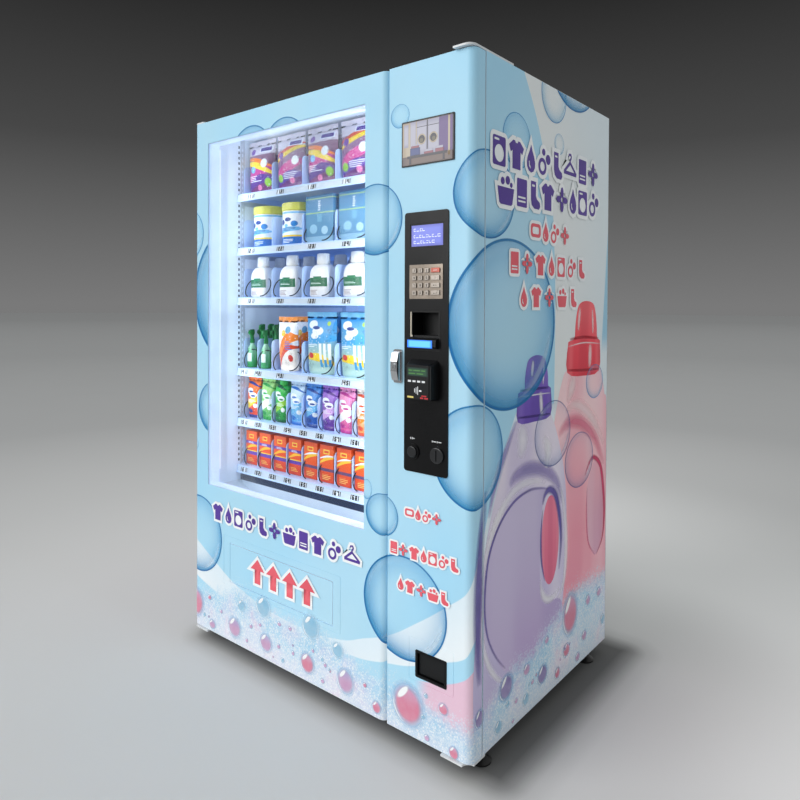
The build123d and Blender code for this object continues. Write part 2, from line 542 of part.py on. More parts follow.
with BuildPart() as coin_entry:
    disc(COIN[0], COIN[1], 21.0, -9, -3)
    fillet(coin_entry.faces().sort_by(Axis.Y)[0].edges(), radius=2.5)
    disc(COIN[0], COIN[1], 15.8, -3, 30)
    plate(COIN[0] - 1.6, COIN[0] + 1.6, COIN[1] - 14, COIN[1] + 14, -10, 31, mode=Mode.SUBTRACT)
save(coin_entry, "coin_entry")

with BuildPart() as coin_return_button:
    disc(BUTTON[0], BUTTON[1], 14.6, -12, 2)
    fillet(coin_return_button.faces().sort_by(Axis.Y)[0].edges(), radius=2.0)
    disc(BUTTON[0], BUTTON[1], 17.5, 0.4, 2)
    disc(BUTTON[0], BUTTON[1], 5.0, 2, 24)
save(coin_return_button, "coin_return_button")

with BuildPart() as coin_cup:
    frame_ring(CUP[0] - 5, CUP[1] + 5, CUP[2] - 5, CUP[3] + 5, 7, -1.5, 0, 4)
    # cup walls behind the door skin
    block(CUP[0] + 0.3, CUP[0] + 2, 0, 72, CUP[2] + 0.3, CUP[3] - 0.3)
    block(CUP[1] - 2, CUP[1] - 0.3, 0, 72, CUP[2] + 0.3, CUP[3] - 0.3)
    block(CUP[0] + 2, CUP[1] - 2, 0, 72, CUP[2] + 0.3, CUP[2] + 2)
    block(CUP[0] + 2, CUP[1] - 2, 24, 72, CUP[3] - 2, CUP[3] - 0.3)
    block(CUP[0] + 2, CUP[1] - 2, 0, 10, CUP[3] - 1.5, CUP[3] - 0.3)
    block(CUP[0] + 0.3, CUP[1] - 0.3, 72, 74, CUP[2] + 0.3, CUP[3] - 0.3)
    rod(CUP[0], CUP[0] + 3, 8, CUP[3] - 7, 1.6, Mode.SUBTRACT)
    rod(CUP[1] - 3, CUP[1], 8, CUP[3] - 7, 1.6, Mode.SUBTRACT)
save(coin_cup, "coin_cup")

with BuildPart() as coin_flap:
    plate(CUP[0] + 4, CUP[1] - 4, CUP[2] + 4, CUP[3] - 4.5, 5, 7.2, r=1)
    rod(CUP[0] + 0.6, CUP[1] - 0.6, 8, CUP[3] - 7, 1.5)
save(coin_flap, "coin_flap")

with BuildPart() as coin_mechanism:
    block(986, 1104, 49, 139, 550, 690)
    block(1000, 1090, 49, 120, 690, 770)
    block(1030, 1060, 60, 110, 770, 786)
save(coin_mechanism, "coin_mechanism")

with BuildPart() as picture_screen:
    plate(*PICTURE, -2.5, 0, r=2)
    plate(PICTURE[0] + 6, PICTURE[1] - 6, PICTURE[2] + 6, PICTURE[3] - 6, 0, 22)
save(picture_screen, "picture_screen")

with BuildPart() as lock_housing:
    plate(LOCK[0] - 14.5, LOCK[0] + 14.5, LOCK[1] - 45, LOCK[1] + 45, -4, 0, r=5)
    disc(LOCK[0], LOCK[1], 8.9, 0, 46)
    disc(LOCK[0], LOCK[1], 6.1, -5, 47, Mode.SUBTRACT)
save(lock_housing, "lock_housing")

with BuildPart() as lock_handle:
    # angled grip: two slopes meeting at the cylinder
    with BuildSketch(Plane(origin=(X0 + LOCK[0] - 11, 0, 0), x_dir=(0, 1, 0), z_dir=(1, 0, 0))) as grip:
        with BuildLine():
            Polyline((Y0 - 4.5, 988.5), (Y0 - 4.5, 1065.5), (Y0 - 15, 1064), (Y0 - 21, 1040), (Y0 - 21, 1014),
                     (Y0 - 15, 990), (Y0 - 4.5, 988.5))
        make_face()
    extrude(to_extrude=grip.sketch, amount=22)
    disc(LOCK[0], LOCK[1], 7.5, -23, -20)
    plate(LOCK[0] - 0.8, LOCK[0] + 0.8, LOCK[1] - 4, LOCK[1] + 4, -24, -20, mode=Mode.SUBTRACT)
    disc(LOCK[0], LOCK[1], 6.0, -4.5, 66)
    # latch cam on the inner end, drawn released
    plate(LOCK[0] - 10, LOCK[0] + 10, LOCK[1] - 10, LOCK[1] + 58, 62, 66, r=6)
save(lock_handle, "lock_handle")


# ------------------------------------------------------------------ trays and coils
def coil_wire(cx, zf, kind, right_hand, front):
    """Wire of one spiral, axis along y, its front end at the bottom; it stops against the hub."""
    radius, up, turns = {"s": (SMALL_R, SMALL_AX, SMALL_TURNS), "d": (SMALL_R, SMALL_AX, PAIR_TURNS),
                         "b": (BIG_R, BIG_AX, BIG_TURNS)}[kind]
    rear = COIL_HUB_Y - WIRE_R - 0.1
    with BuildPart() as wire:
        with BuildLine() as path:
            Helix(pitch=(rear - front) / turns, height=rear - front, radius=radius,
                  center=(X0 + cx, Y0 + rear, zf + up), direction=(0, -1, 0), lefthand=not right_hand)
        with BuildSketch(Plane(origin=path.line @ 0, z_dir=path.line % 0)) as section:
            Circle(WIRE_R)
        sweep(sections=section.sketch, path=path.line, is_frenet=True)
    return wire


def coil_hub(cx, zf, kind):
    """Hub disc with the stub that the motor drives."""
    radius, up = (BIG_R, BIG_AX) if kind == "b" else (SMALL_R, SMALL_AX)
    with BuildPart() as hub:
        disc(cx, zf + up, radius + WIRE_R + 0.5, COIL_HUB_Y, COIL_HUB_Y + 6)
        disc(cx, zf + up, 4.0, COIL_HUB_Y + 6, TRAY_Y1 + 11)
    return hub


def coils_of(lane_x, kind):
    """The coils of one lane: (centre, kind, right-handed, front end)."""
    if kind == "d":
        return [(lane_x - PAIR, "d", True, COIL_FRONT_Y), (lane_x + PAIR, "d", False, COIL_FRONT_Y)]
    if kind == "b":
        return [(lane_x, "b", True, 232.0)]
    return [(lane_x, "s", True, COIL_FRONT_Y)]


for t, zf in TRAY_Z.items():
    edges = sorted({round(x - (LANE / 2 if k == "s" else LANE), 3) for x, k in LANES[t]}
                   | {round(x + (LANE / 2 if k == "s" else LANE), 3) for x, k in LANES[t]})
    # pan floor with the sides folded down, riding on the angle runners
    pan = [sheet(TRAY_X0, TRAY_X1, TRAY_Y0 + 2, TRAY_Y1 + 2, zf - 2, zf),
           sheet(TRAY_X0, TRAY_X0 + 2, TRAY_Y0 + 2, TRAY_Y1 + 2, zf - RAIL_DROP, zf - 2),
           sheet(TRAY_X1 - 2, TRAY_X1, TRAY_Y0 + 2, TRAY_Y1 + 2, zf - RAIL_DROP, zf - 2)]
    with BuildPart() as rear:
        # rear plate that carries the motors
        block(TRAY_X0, TRAY_X1, TRAY_Y1, TRAY_Y1 + 2, zf, zf + DIVIDER_H)
        for lane_x, kind in LANES[t]:
            for cx, k, _, _ in coils_of(lane_x, kind):
                disc(cx, zf + (BIG_AX if k == "b" else SMALL_AX), 5.5, TRAY_Y1 - 1, TRAY_Y1 + 3, Mode.SUBTRACT)
    with BuildPart() as rail:
        # price rail: leaning face with a lip along its top and bottom
        with BuildSketch(Plane(origin=(X0 + TRAY_X0, 0, 0), x_dir=(0, 1, 0), z_dir=(1, 0, 0))) as section:
            with BuildLine():
                Polyline((Y0 + 140, zf), (Y0 + 136, zf), (Y0 + 136, zf - 2), (Y0 + 138, zf - 3),
                         (Y0 + 134, zf - 23), (Y0 + 131, zf - 24), (Y0 + 131, zf - 27), (Y0 + 136, zf - 27),
                         (Y0 + 140, zf - 8), (Y0 + 140, zf))
            make_face()
        extrude(to_extrude=section.sketch, amount=TRAY_X1 - TRAY_X0)
    walls = []
    for ex in edges:
        ex = min(max(ex, TRAY_X0 + 1), TRAY_X1 - 1)
        with BuildPart() as wall:
            with BuildSketch(Plane(origin=(X0 + ex - 1, 0, 0), x_dir=(0, 1, 0), z_dir=(1, 0, 0))) as fin:
                with BuildLine():
                    Polyline((Y0 + 165, zf), (Y0 + TRAY_Y1, zf), (Y0 + TRAY_Y1, zf + DIVIDER_H),
                             (Y0 + 165 + 18, zf + DIVIDER_H))
                    RadiusArc((Y0 + 165 + 18, zf + DIVIDER_H), (Y0 + 165, zf + DIVIDER_H - 18), -18)
                    Line((Y0 + 165, zf + DIVIDER_H - 18), (Y0 + 165, zf))
                make_face()
            extrude(to_extrude=fin.sketch, amount=2)
        walls.append(wall)
    with BuildPart() as motors:
        for lane_x, kind in LANES[t]:
            zc = zf + (BIG_AX if kind == "b" else SMALL_AX)
            half = 32.0 if kind == "s" else 60.0
            block(lane_x - half, lane_x + half, TRAY_Y1 + 2, TRAY_Y1 + 44, zc - 28, zc + 28)
            for cx, _, _, _ in coils_of(lane_x, kind):
                disc(cx, zc, BORE_R, TRAY_Y1 + 1, TRAY_Y1 + 14, Mode.SUBTRACT)
    save_welded(f"tray_{t}", *pan, rear, rail, *walls, motors)

    turning = LANES[t][0] if t == "c" else None
    wires = []
    for lane_x, kind in LANES[t]:
        for n, (cx, k, hand, front) in enumerate(coils_of(lane_x, kind)):
            one = [coil_wire(cx, zf, k, hand, front), coil_hub(cx, zf, k)]
            if turning and lane_x == turning[0]:
                save_welded(("coil_c1_left", "coil_c1_right")[n], *one)
            else:
                wires += one
    save_welded(f"coils_{t}", *wires)

print("done", len(os.listdir("parts")))
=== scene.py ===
import math
import random

import bmesh
import bpy
from mathutils import Matrix, Vector
from mathutils.geometry import tessellate_polygon


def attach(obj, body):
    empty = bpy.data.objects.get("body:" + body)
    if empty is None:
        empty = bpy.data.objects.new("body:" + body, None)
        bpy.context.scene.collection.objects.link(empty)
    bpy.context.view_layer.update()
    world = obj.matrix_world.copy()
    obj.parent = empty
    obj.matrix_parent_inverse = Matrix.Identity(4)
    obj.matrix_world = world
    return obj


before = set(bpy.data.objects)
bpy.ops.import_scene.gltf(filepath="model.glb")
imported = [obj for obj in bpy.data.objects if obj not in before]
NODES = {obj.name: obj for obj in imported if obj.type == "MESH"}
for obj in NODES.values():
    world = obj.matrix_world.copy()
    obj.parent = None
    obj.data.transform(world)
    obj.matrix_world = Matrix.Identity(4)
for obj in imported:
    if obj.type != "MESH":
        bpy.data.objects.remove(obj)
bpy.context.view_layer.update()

random.seed(7)

# Layout coordinates in millimetres, as in the part: x across the front, y into the machine, z up.
W, D, H = 1185.0, 838.0, 1830.0
CX, CY = 592.5, 403.0


def P(x, y, z):
    return Vector(((x - CX) / 1000, (y - CY) / 1000, z / 1000))


# ------------------------------------------------------------------ node helpers
def lin(c):
    c = c / 255.0
    return c / 12.92 if c <= 0.04045 else ((c + 0.055) / 1.055) ** 2.4


def rgb(r, g, b, a=1.0):
    return (lin(r), lin(g), lin(b), a)


class Tree:
    """Small writer for node trees: every method returns an output socket."""

    def __init__(self, name):
        self.mat = bpy.data.materials.new(name)
        self.mat.use_nodes = True
        self.nt = self.mat.node_tree
        self.nt.nodes.clear()
        self.out = self.nt.nodes.new("ShaderNodeOutputMaterial")

    def node(self, kind, **props):
        n = self.nt.nodes.new(kind)
        for k, v in props.items():
            setattr(n, k, v)
        return n

    def put(self, socket, value):
        if isinstance(value, bpy.types.NodeSocket):
            self.nt.links.new(value, socket)
        elif value is not None:
            socket.default_value = value

    def math(self, op, a, b=None, c=None, clamp=False):
        n = self.node("ShaderNodeMath", operation=op, use_clamp=clamp)
        for s, v in zip(n.inputs, (a, b, c)):
            self.put(s, v)
        return n.outputs[0]

    def add(self, a, b):
        return self.math("ADD", a, b)

    def sub(self, a, b):
        return self.math("SUBTRACT", a, b)

    def mul(self, a, b):
        return self.math("MULTIPLY", a, b)

    def step(self, value, lo, hi):
        """Smooth 0 to 1 as value goes from lo to hi."""
        n = self.node("ShaderNodeMapRange", interpolation_type="SMOOTHSTEP", clamp=True)
        self.put(n.inputs["Value"], value)
        self.put(n.inputs["From Min"], lo)
        self.put(n.inputs["From Max"], hi)
        return n.outputs[0]

    def range(self, value, a, b, c, d):
        n = self.node("ShaderNodeMapRange", clamp=True)
        for key, v in (("Value", value), ("From Min", a), ("From Max", b), ("To Min", c), ("To Max", d)):
            self.put(n.inputs[key], v)
        return n.outputs[0]

    def mix(self, fac, a, b, blend="MIX"):
        n = self.node("ShaderNodeMix", data_type="RGBA", blend_type=blend)
        self.put(n.inputs[0], fac)
        self.put(n.inputs[6], a)
        self.put(n.inputs[7], b)
        return n.outputs[2]

    def ramp(self, fac, stops, interpolation="LINEAR"):
        n = self.node("ShaderNodeValToRGB")
        n.color_ramp.interpolation = interpolation
        el = n.color_ramp.elements
        while len(el) < len(stops):
            el.new(0.5)
        for e, (pos, col) in zip(el, stops):
            e.position = pos
            e.color = col
        self.put(n.inputs[0], fac)
        return n.outputs[0]

    def curve(self, fac, points, lo, hi, vlo, vhi):
        """Function through points: fac runs lo..hi, value runs vlo..vhi."""
        n = self.node("ShaderNodeFloatCurve")
        c = n.mapping.curves[0]
        pts = [((x - lo) / (hi - lo), (y - vlo) / (vhi - vlo)) for x, y in points]
        while len(c.points) < len(pts):
            c.points.new(0.5, 0.5)
        for q, (x, y) in zip(c.points, pts):
            q.location = (x, y)
            q.handle_type = "AUTO"
        n.mapping.update()
        self.put(n.inputs["Value"], self.range(fac, lo, hi, 0.0, 1.0))
        return self.range(n.outputs[0], 0.0, 1.0, vlo, vhi)

    def coord(self, which="Object"):
        return self.node("ShaderNodeTexCoord").outputs[which]

    def uv(self):
        return self.node("ShaderNodeUVMap").outputs[0]

    def xyz(self, vec):
        n = self.node("ShaderNodeSeparateXYZ")
        self.put(n.inputs[0], vec)
        return n.outputs[0], n.outputs[1], n.outputs[2]

    def vec(self, x=0.0, y=0.0, z=0.0):
        n = self.node("ShaderNodeCombineXYZ")
        for s, v in zip(n.inputs, (x, y, z)):
            self.put(s, v)
        return n.outputs[0]

    def scale(self, vec, s):
        n = self.node("ShaderNodeMapping")
        self.put(n.inputs["Vector"], vec)
        n.inputs["Scale"].default_value = s if isinstance(s, (tuple, list)) else (s, s, s)
        return n.outputs[0]

    def noise(self, vec, scale, detail=3.0, rough=0.5, dist=0.0, color=False):
        n = self.node("ShaderNodeTexNoise")
        self.put(n.inputs["Vector"], vec)
        self.put(n.inputs["Scale"], scale)
        self.put(n.inputs["Detail"], detail)
        self.put(n.inputs["Roughness"], rough)
        self.put(n.inputs["Distortion"], dist)
        return n.outputs["Color" if color else "Fac"]

    def voronoi(self, vec, scale, feature="F1", out="Distance", rand=1.0):
        n = self.node("ShaderNodeTexVoronoi", feature=feature)
        self.put(n.inputs["Vector"], vec)
        self.put(n.inputs["Scale"], scale)
        self.put(n.inputs["Randomness"], rand)
        return n.outputs[out]

    def bump(self, height, strength=0.2, distance=0.001, normal=None):
        n = self.node("ShaderNodeBump")
        self.put(n.inputs["Strength"], strength)
        self.put(n.inputs["Distance"], distance)
        self.put(n.inputs["Height"], height)
        if normal is not None:
            self.put(n.inputs["Normal"], normal)
        return n.outputs[0]

    def principled(self, **kw):
        n = self.node("ShaderNodeBsdfPrincipled")
        for k, v in kw.items():
            key = k.replace("_", " ")
            self.put(n.inputs[key], v)
        return n

    def finish(self, shader):
        self.nt.links.new(shader, self.out.inputs["Surface"])
        return self.mat


def plain(name, color, color2=None, rough=0.45, metal=0.0, grain=400.0, bump=0.12, blotch=6.0, wear=0.0,
          wear_color=(0.5, 0.5, 0.5, 1.0), coat=0.0, spec=0.5, emit=None, emit_strength=0.0, stretch=None, distance=0.0004):
    """Painted, moulded or brushed finish: two tones of large blotches, fine grain in bump and roughness, optional wear."""
    t = Tree(name)
    co = t.coord()
    vec = t.scale(co, stretch) if stretch else co
    big = t.noise(co, blotch, 4.0, 0.55)
    fine = t.noise(vec, grain, 3.0, 0.6)
    c2 = color2 or tuple(v * 0.9 for v in color[:3]) + (1.0,)
    col = t.mix(t.step(big, 0.35, 0.7), color, c2)
    if wear > 0:
        w = t.step(t.noise(co, 38.0, 6.0, 0.65), 0.72 - wear * 0.12, 0.78)
        col = t.mix(t.mul(w, wear), col, wear_color)
    r = t.range(t.add(t.mul(fine, 0.5), t.mul(big, 0.5)), 0.3, 0.7, max(rough - 0.08, 0.02), min(rough + 0.1, 1.0))
    p = t.principled(Base_Color=col, Roughness=r, Metallic=metal, Normal=t.bump(fine, bump, distance))
    p.inputs["Specular IOR Level"].default_value = spec
    p.inputs["Coat Weight"].default_value = coat
    if emit:
        t.put(p.inputs["Emission Color"], t.mix(t.mul(big, 0.15), emit, tuple(v * 0.8 for v in emit[:3]) + (1.0,)))
        p.inputs["Emission Strength"].default_value = emit_strength
    return t.finish(p.outputs[0])


# ------------------------------------------------------------------ the printed wrap
BLUE = rgb(170, 222, 248)
WHITE = rgb(240, 247, 251)
PINK = rgb(240, 190, 208)


def foam_over(t, col, u, z, uz):
    """Lays the foam along the foot over a colour: thousands of small cells, thicker towards the floor."""
    foam_top = t.curve(u, [(-0.9, 0.33), (-0.3, 0.28), (0.0, 0.215), (0.1, 0.24), (0.211, 0.265), (0.27, 0.285), (0.365, 0.258),
                           (0.5, 0.25), (0.638, 0.262), (0.728, 0.25), (0.82, 0.215), (0.904, 0.2), (1.0, 0.205), (1.161, 0.18),
                           (1.238, 0.19), (1.293, 0.225), (1.391, 0.25), (1.522, 0.262), (1.642, 0.3), (1.746, 0.345),
                           (1.89, 0.34), (2.05, 0.335)], -0.9, 2.05, 0.0, 1.0)
    ragged = t.add(t.mul(t.sub(t.noise(uz, 9.0, 5.0, 0.6), 0.5), 0.075), t.mul(t.sub(t.noise(uz, 60.0, 3.0), 0.5), 0.05))
    depth = t.add(t.sub(foam_top, z), ragged)
    density = t.step(depth, -0.015, 0.10)
    warp = t.add(u, t.mul(t.noise(uz, 30.0, 2.0), 0.01))
    cells = t.voronoi(t.vec(warp, 0.0, z), 150.0)
    cells_big = t.voronoi(t.vec(t.add(warp, 3.7), 0.0, z), 62.0)
    grain = t.voronoi(t.vec(warp, 0.0, z), 330.0)
    cell_white = t.sub(1.0, t.step(cells, 0.12, 0.62))
    big_white = t.mul(t.sub(1.0, t.step(cells_big, 0.1, 0.55)), 0.55)
    fine_white = t.mul(t.sub(1.0, t.step(grain, 0.15, 0.7)), 0.6)
    froth = t.math("MAXIMUM", t.math("MAXIMUM", cell_white, big_white), fine_white)
    tint_noise = t.noise(t.vec(t.add(u, 5.3), 0.0, z), 6.5, 3.0, 0.6)
    tint = t.ramp(tint_noise, [(0.30, rgb(136, 198, 230)), (0.46, rgb(158, 208, 236)), (0.58, rgb(184, 204, 234)),
                               (0.67, rgb(226, 200, 224)), (0.76, rgb(184, 214, 238))])
    tint = t.mix(t.step(z, 0.05, 0.14), t.mix(0.35, tint, rgb(226, 220, 236)), tint)
    foam_col = t.mix(t.mul(froth, 0.88), tint, rgb(248, 251, 253))
    lift = t.mix(t.mul(t.step(depth, 0.05, 0.2), 0.34), foam_col, rgb(246, 248, 252))
    dots = t.mul(density, t.step(t.add(froth, t.mul(density, 1.4)), 0.75, 1.15))
    col = t.mix(t.math("MINIMUM", dots, 1.0), col, lift)
    return col


def wrap_print(t):
    """Colour of the printed film. u runs round the machine: x on the front, on round both corners with depth."""
    co = t.coord()
    x, y, z = t.xyz(co)
    xm, ym = t.add(x, CX / 1000), t.math("MAXIMUM", t.add(y, CY / 1000), 0.0)
    right = t.math("GREATER_THAN", x, 0.0)
    u = t.add(xm, t.mul(ym, t.sub(t.mul(right, 2.0), 1.0)))
    uz = t.vec(u, 0.0, z)

    # soft white sweep along the foot of the front, rising to the right corner
    top = t.curve(u, [(-0.9, 0.62), (-0.3, 0.49), (0.008, 0.352), (0.114, 0.298), (0.269, 0.235), (0.5, 0.20), (0.731, 0.216),
                      (0.824, 0.25), (0.904, 0.282), (1.016, 0.353), (1.111, 0.423), (1.172, 0.474), (1.211, 0.545),
                      (1.3, 0.74), (1.4, 0.9)], -0.9, 1.4, 0.0, 1.0)
    low = t.curve(u, [(-0.9, 0.5), (-0.3, 0.36), (0.008, 0.222), (0.211, 0.172), (0.5, 0.13), (0.75, 0.182), (0.825, 0.19),
                      (0.904, 0.208), (0.984, 0.227), (1.079, 0.268), (1.161, 0.304), (1.199, 0.348), (1.4, 0.6)],
                  -0.9, 1.4, 0.0, 1.0)
    above = t.step(t.sub(top, z), -0.0015, 0.0015)
    below = t.step(t.sub(z, low), -0.002, 0.002)
    sweep = t.mul(above, below)
    shade = t.noise(uz, 2.5, 2.0)
    white = t.mix(t.step(t.sub(top, z), 0.0, 0.16), rgb(228, 242, 250), WHITE)
    blue = t.mix(t.step(shade, 0.3, 0.75), BLUE, rgb(180, 224, 244))
    # a faint lighter sheen in broad diagonal bands
    sheen = t.step(t.math("SINE", t.add(t.mul(u, 3.4), t.mul(z, -2.2))), 0.55, 1.0)
    blue = t.mix(t.mul(sheen, 0.22), blue, rgb(204, 234, 248))
    col = t.mix(sweep, blue, white)

    # pale field on the rear part of both sides
    edge = t.curve(z, [(0.0, 1.60), (0.9, 1.625), (1.297, 1.626), (1.36, 1.62), (1.49, 1.604), (1.675, 1.529), (1.828, 1.434)],
                   0.0, 1.9, 1.0, 2.0)
    far = t.math("MAXIMUM", u, t.sub(1.185, u))
    pale = t.step(t.sub(far, edge), -0.0015, 0.0015)
    pale_color = t.mix(t.step(t.sub(far, edge), 0.0, 0.5), rgb(236, 240, 240), rgb(226, 238, 244))
    col = t.mix(pale, col, pale_color)
    # narrow blue return of the far edge
    back = t.step(t.add(far, t.mul(t.sub(z, 1.2), -0.12)), 1.99, 1.993)
    col = t.mix(t.mul(back, t.step(z, 1.02, 1.1)), col, rgb(160, 208, 232))

    # pink wash under the coin cup
    wash_top = t.curve(u, [(0.9, 0.15), (0.984, 0.19), (1.127, 0.231), (1.195, 0.275), (1.26, 0.33)], 0.9, 1.26, 0.0, 1.0)
    wash = t.mul(t.step(t.sub(wash_top, z), -0.002, 0.002), t.mul(t.step(u, 1.0, 1.06), t.sub(1.0, t.step(u, 1.2, 1.24))))
    col = t.mix(t.mul(wash, 0.85), col, PINK)

    return foam_over(t, col, u, z, uz), co


def wrap_material(name, back_color=None):
    t = Tree(name)
    col, co = wrap_print(t)
    grime = t.noise(co, 3.1, 6.0, 0.7)
    fine = t.noise(co, 900.0, 2.0)
    peel = t.noise(co, 160.0, 2.0)
    scuff = t.mul(t.step(t.noise(t.scale(co, (1.0, 1.0, 6.0)), 26.0, 8.0, 0.7), 0.70, 0.78), 0.10)
    col = t.mix(t.mul(t.step(grime, 0.45, 0.85), 0.05), col, rgb(120, 140, 150))
    col = t.mix(scuff, col, rgb(250, 252, 253))
    rough = t.range(t.add(t.mul(grime, 0.6), t.mul(fine, 0.4)), 0.3, 0.7, 0.34, 0.50)
    n = t.bump(peel, 0.05, 0.0004)
    n = t.bump(fine, 0.06, 0.0002, n)
    p = t.principled(Base_Color=col, Roughness=rough, Normal=n)
    p.inputs["Specular IOR Level"].default_value = 0.35
    return t.finish(p.outputs[0])


M_WRAP = wrap_material("wrap_film")
M_LINER = plain("liner_white", rgb(222, 232, 240), rgb(212, 224, 236), 0.42, grain=700, wear=0.12, wear_color=rgb(180, 190, 198))
# painted light: the tray paint glows faintly so the shaded dividers and pans read bright
M_TRAY_GLOW = plain("tray_white_glow", rgb(204, 222, 248), rgb(192, 213, 242), 0.38, grain=650, wear=0.15, wear_color=rgb(170, 178, 186), emit=(0.15, 0.30, 0.80, 1.0), emit_strength=0.14)
M_BACK = plain("rear_sheet", rgb(178, 184, 188), rgb(160, 167, 172), 0.38, metal=0.75, grain=120, stretch=(1, 1, 9), wear=0.3,
               wear_color=rgb(205, 208, 210))
M_GALV = plain("galvanised", rgb(214, 222, 232), rgb(196, 206, 218), 0.42, metal=0.35, grain=90, blotch=34, wear=0.25,
               wear_color=rgb(215, 217, 219))
M_FOOT = plain("foot_steel", rgb(58, 56, 55), rgb(34, 33, 33), 0.34, metal=0.7, grain=260, wear=0.35, wear_color=rgb(60, 52, 46))
M_HINGE = plain("hinge_paint", rgb(226, 228, 230), rgb(208, 211, 214), 0.4, grain=500, wear=0.35, wear_color=rgb(120, 120, 122))
M_DARK = plain("dark_box", rgb(44, 46, 50), rgb(34, 35, 38), 0.5, grain=500, wear=0.2, wear_color=rgb(110, 112, 116))
M_BLACK = plain("black_plastic", rgb(13, 13, 15), rgb(8, 9, 10), 0.40, grain=900, bump=0.3, wear=0.06, wear_color=rgb(46, 47, 50), spec=0.3)
M_FASCIA = plain("fascia_black", rgb(9, 9, 11), rgb(6, 6, 8), 0.30, grain=1100, bump=0.12, wear=0.04, wear_color=rgb(40, 41, 44), spec=0.22)
M_RUBBER = plain("rubber", rgb(206, 222, 238), rgb(188, 206, 224), 0.6, grain=500, bump=0.3)
# painted light: the inner wall paint glows faintly to brighten the shaded inside of the cabinet
M_WALL_GLOW = plain("wall_white_glow", rgb(226, 236, 246), rgb(214, 227, 241), 0.42, grain=700, wear=0.12, wear_color=rgb(180, 190, 198), emit=(0.62, 0.72, 0.94, 1.0), emit_strength=0.14)
# painted light: the rear liner glows blue to brighten the shaded back of the compartment behind the goods
M_INNER_BACK_GLOW = plain("liner_rear_glow", rgb(140, 170, 208), rgb(118, 148, 188), 0.5, grain=700, wear=0.1, wear_color=rgb(150, 164, 182), emit=(0.16, 0.28, 0.50, 1.0), emit_strength=1.05)
# painted shade: dark navy for the slot openings in the uprights
M_SLOT_SHADE = plain("slot_shade_navy", rgb(30, 42, 66), rgb(22, 32, 52), 0.45, grain=600, wear=0.1, wear_color=rgb(96, 108, 128))


def hopper_material():
    """White hopper with a dark navy band along the top of its throat: painted shade under tray F."""
    t = Tree("hopper_paint")
    co = t.coord()
    x, y, z = t.xyz(co)
    fine = t.noise(co, 600.0, 3.0)
    big = t.noise(co, 6.0, 4.0)
    # painted shade: the dark navy band stands in for the shade just under tray F
    strip = t.mul(t.step(z, 0.541, 0.543), t.step(y, -0.34, -0.338))
    white = t.mix(t.step(big, 0.35, 0.7), rgb(222, 232, 240), rgb(210, 222, 234))
    navy = t.mix(t.step(big, 0.35, 0.7), rgb(36, 50, 78), rgb(26, 38, 62))
    col = t.mix(strip, white, navy)
    wear = t.step(t.noise(co, 38.0, 6.0), 0.7, 0.78)
    col = t.mix(t.mul(wear, 0.14), col, rgb(150, 160, 170))
    p = t.principled(Base_Color=col, Roughness=t.range(fine, 0.3, 0.7, 0.36, 0.52), Normal=t.bump(fine, 0.12, 0.0003))
    p.inputs["Specular IOR Level"].default_value = 0.35
    return t.finish(p.outputs[0])


M_HOPPER = hopper_material()
M_LAMP = plain("lamp_cover", rgb(244, 249, 253), None, 0.4, grain=300, emit=(0.72, 0.86, 1.0, 1.0), emit_strength=0.42)
M_KEYPLATE = plain("keypad_plate", rgb(150, 138, 126), rgb(126, 116, 106), 0.34, metal=0.8, grain=160, stretch=(1, 1, 14), wear=0.3,
                   wear_color=rgb(196, 188, 178))
M_KEY = plain("key_metal", rgb(176, 166, 156), rgb(150, 142, 134), 0.30, metal=0.75, grain=300, wear=0.25, wear_color=rgb(205, 200, 194))
M_KEY_RED = plain("key_red", rgb(196, 108, 92), rgb(170, 90, 78), 0.32, metal=0.35, grain=300, wear=0.25, wear_color=rgb(220, 190, 180))
M_CHROME = plain("chrome", rgb(206, 208, 210), rgb(176, 178, 182), 0.16, metal=1.0, grain=220, wear=0.3, wear_color=rgb(120, 120, 124))
M_BUTTON = plain("button_black", rgb(26, 27, 30), rgb(16, 17, 19), 0.22, grain=900, bump=0.08, coat=0.3)
M_WIRE = plain("wire_black", rgb(24, 26, 32), rgb(16, 18, 24), 0.34, grain=500, wear=0.2, wear_color=rgb(70, 74, 82))
# painted light: this blue-grey paint glows to brighten the shaded motor boxes at the rear of the trays
M_MOTOR_GLOW = plain("motor_blue_grey_glow", rgb(132, 158, 198), rgb(112, 138, 180), 0.5, grain=400, wear=0.2, wear_color=rgb(150, 162, 180), emit=(0.16, 0.27, 0.48, 1.0), emit_strength=0.9)
# painted light: the reveal of the window door glows to brighten its shaded inner edge
M_REVEAL_GLOW = plain("reveal_white_glow", rgb(222, 236, 250), rgb(210, 226, 244), 0.45, grain=700, wear=0.1, wear_color=rgb(180, 190, 198), emit=(0.60, 0.74, 0.96, 1.0), emit_strength=0.46)


def glass_material():
    t = Tree("window_glass")
    co = t.coord()
    smear = t.noise(t.scale(co, (1.0, 1.0, 3.0)), 4.0, 6.0, 0.6)
    dust = t.step(t.noise(co, 700.0, 2.0), 0.72, 0.8)
    gloss = t.node("ShaderNodeBsdfGlossy")
    t.put(gloss.inputs["Color"], (0.9, 0.96, 1.0, 1.0))
    t.put(gloss.inputs["Roughness"], t.range(smear, 0.3, 0.7, 0.02, 0.10))
    t.put(gloss.inputs["Normal"], t.bump(smear, 0.02, 0.001))
    clear = t.node("ShaderNodeBsdfTransparent")
    t.put(clear.inputs["Color"], t.mix(t.mul(dust, 0.05), (0.975, 0.985, 0.99, 1.0), (0.9, 0.92, 0.93, 1.0)))
    fres = t.node("ShaderNodeFresnel")
    fres.inputs["IOR"].default_value = 1.25
    m = t.node("ShaderNodeMixShader")
    t.put(m.inputs[0], t.mul(fres.outputs[0], t.range(smear, 0.3, 0.7, 0.16, 0.30)))
    t.nt.links.new(clear.outputs[0], m.inputs[1])
    t.nt.links.new(gloss.outputs[0], m.inputs[2])
    return t.finish(m.outputs[0])


M_GLASS = glass_material()

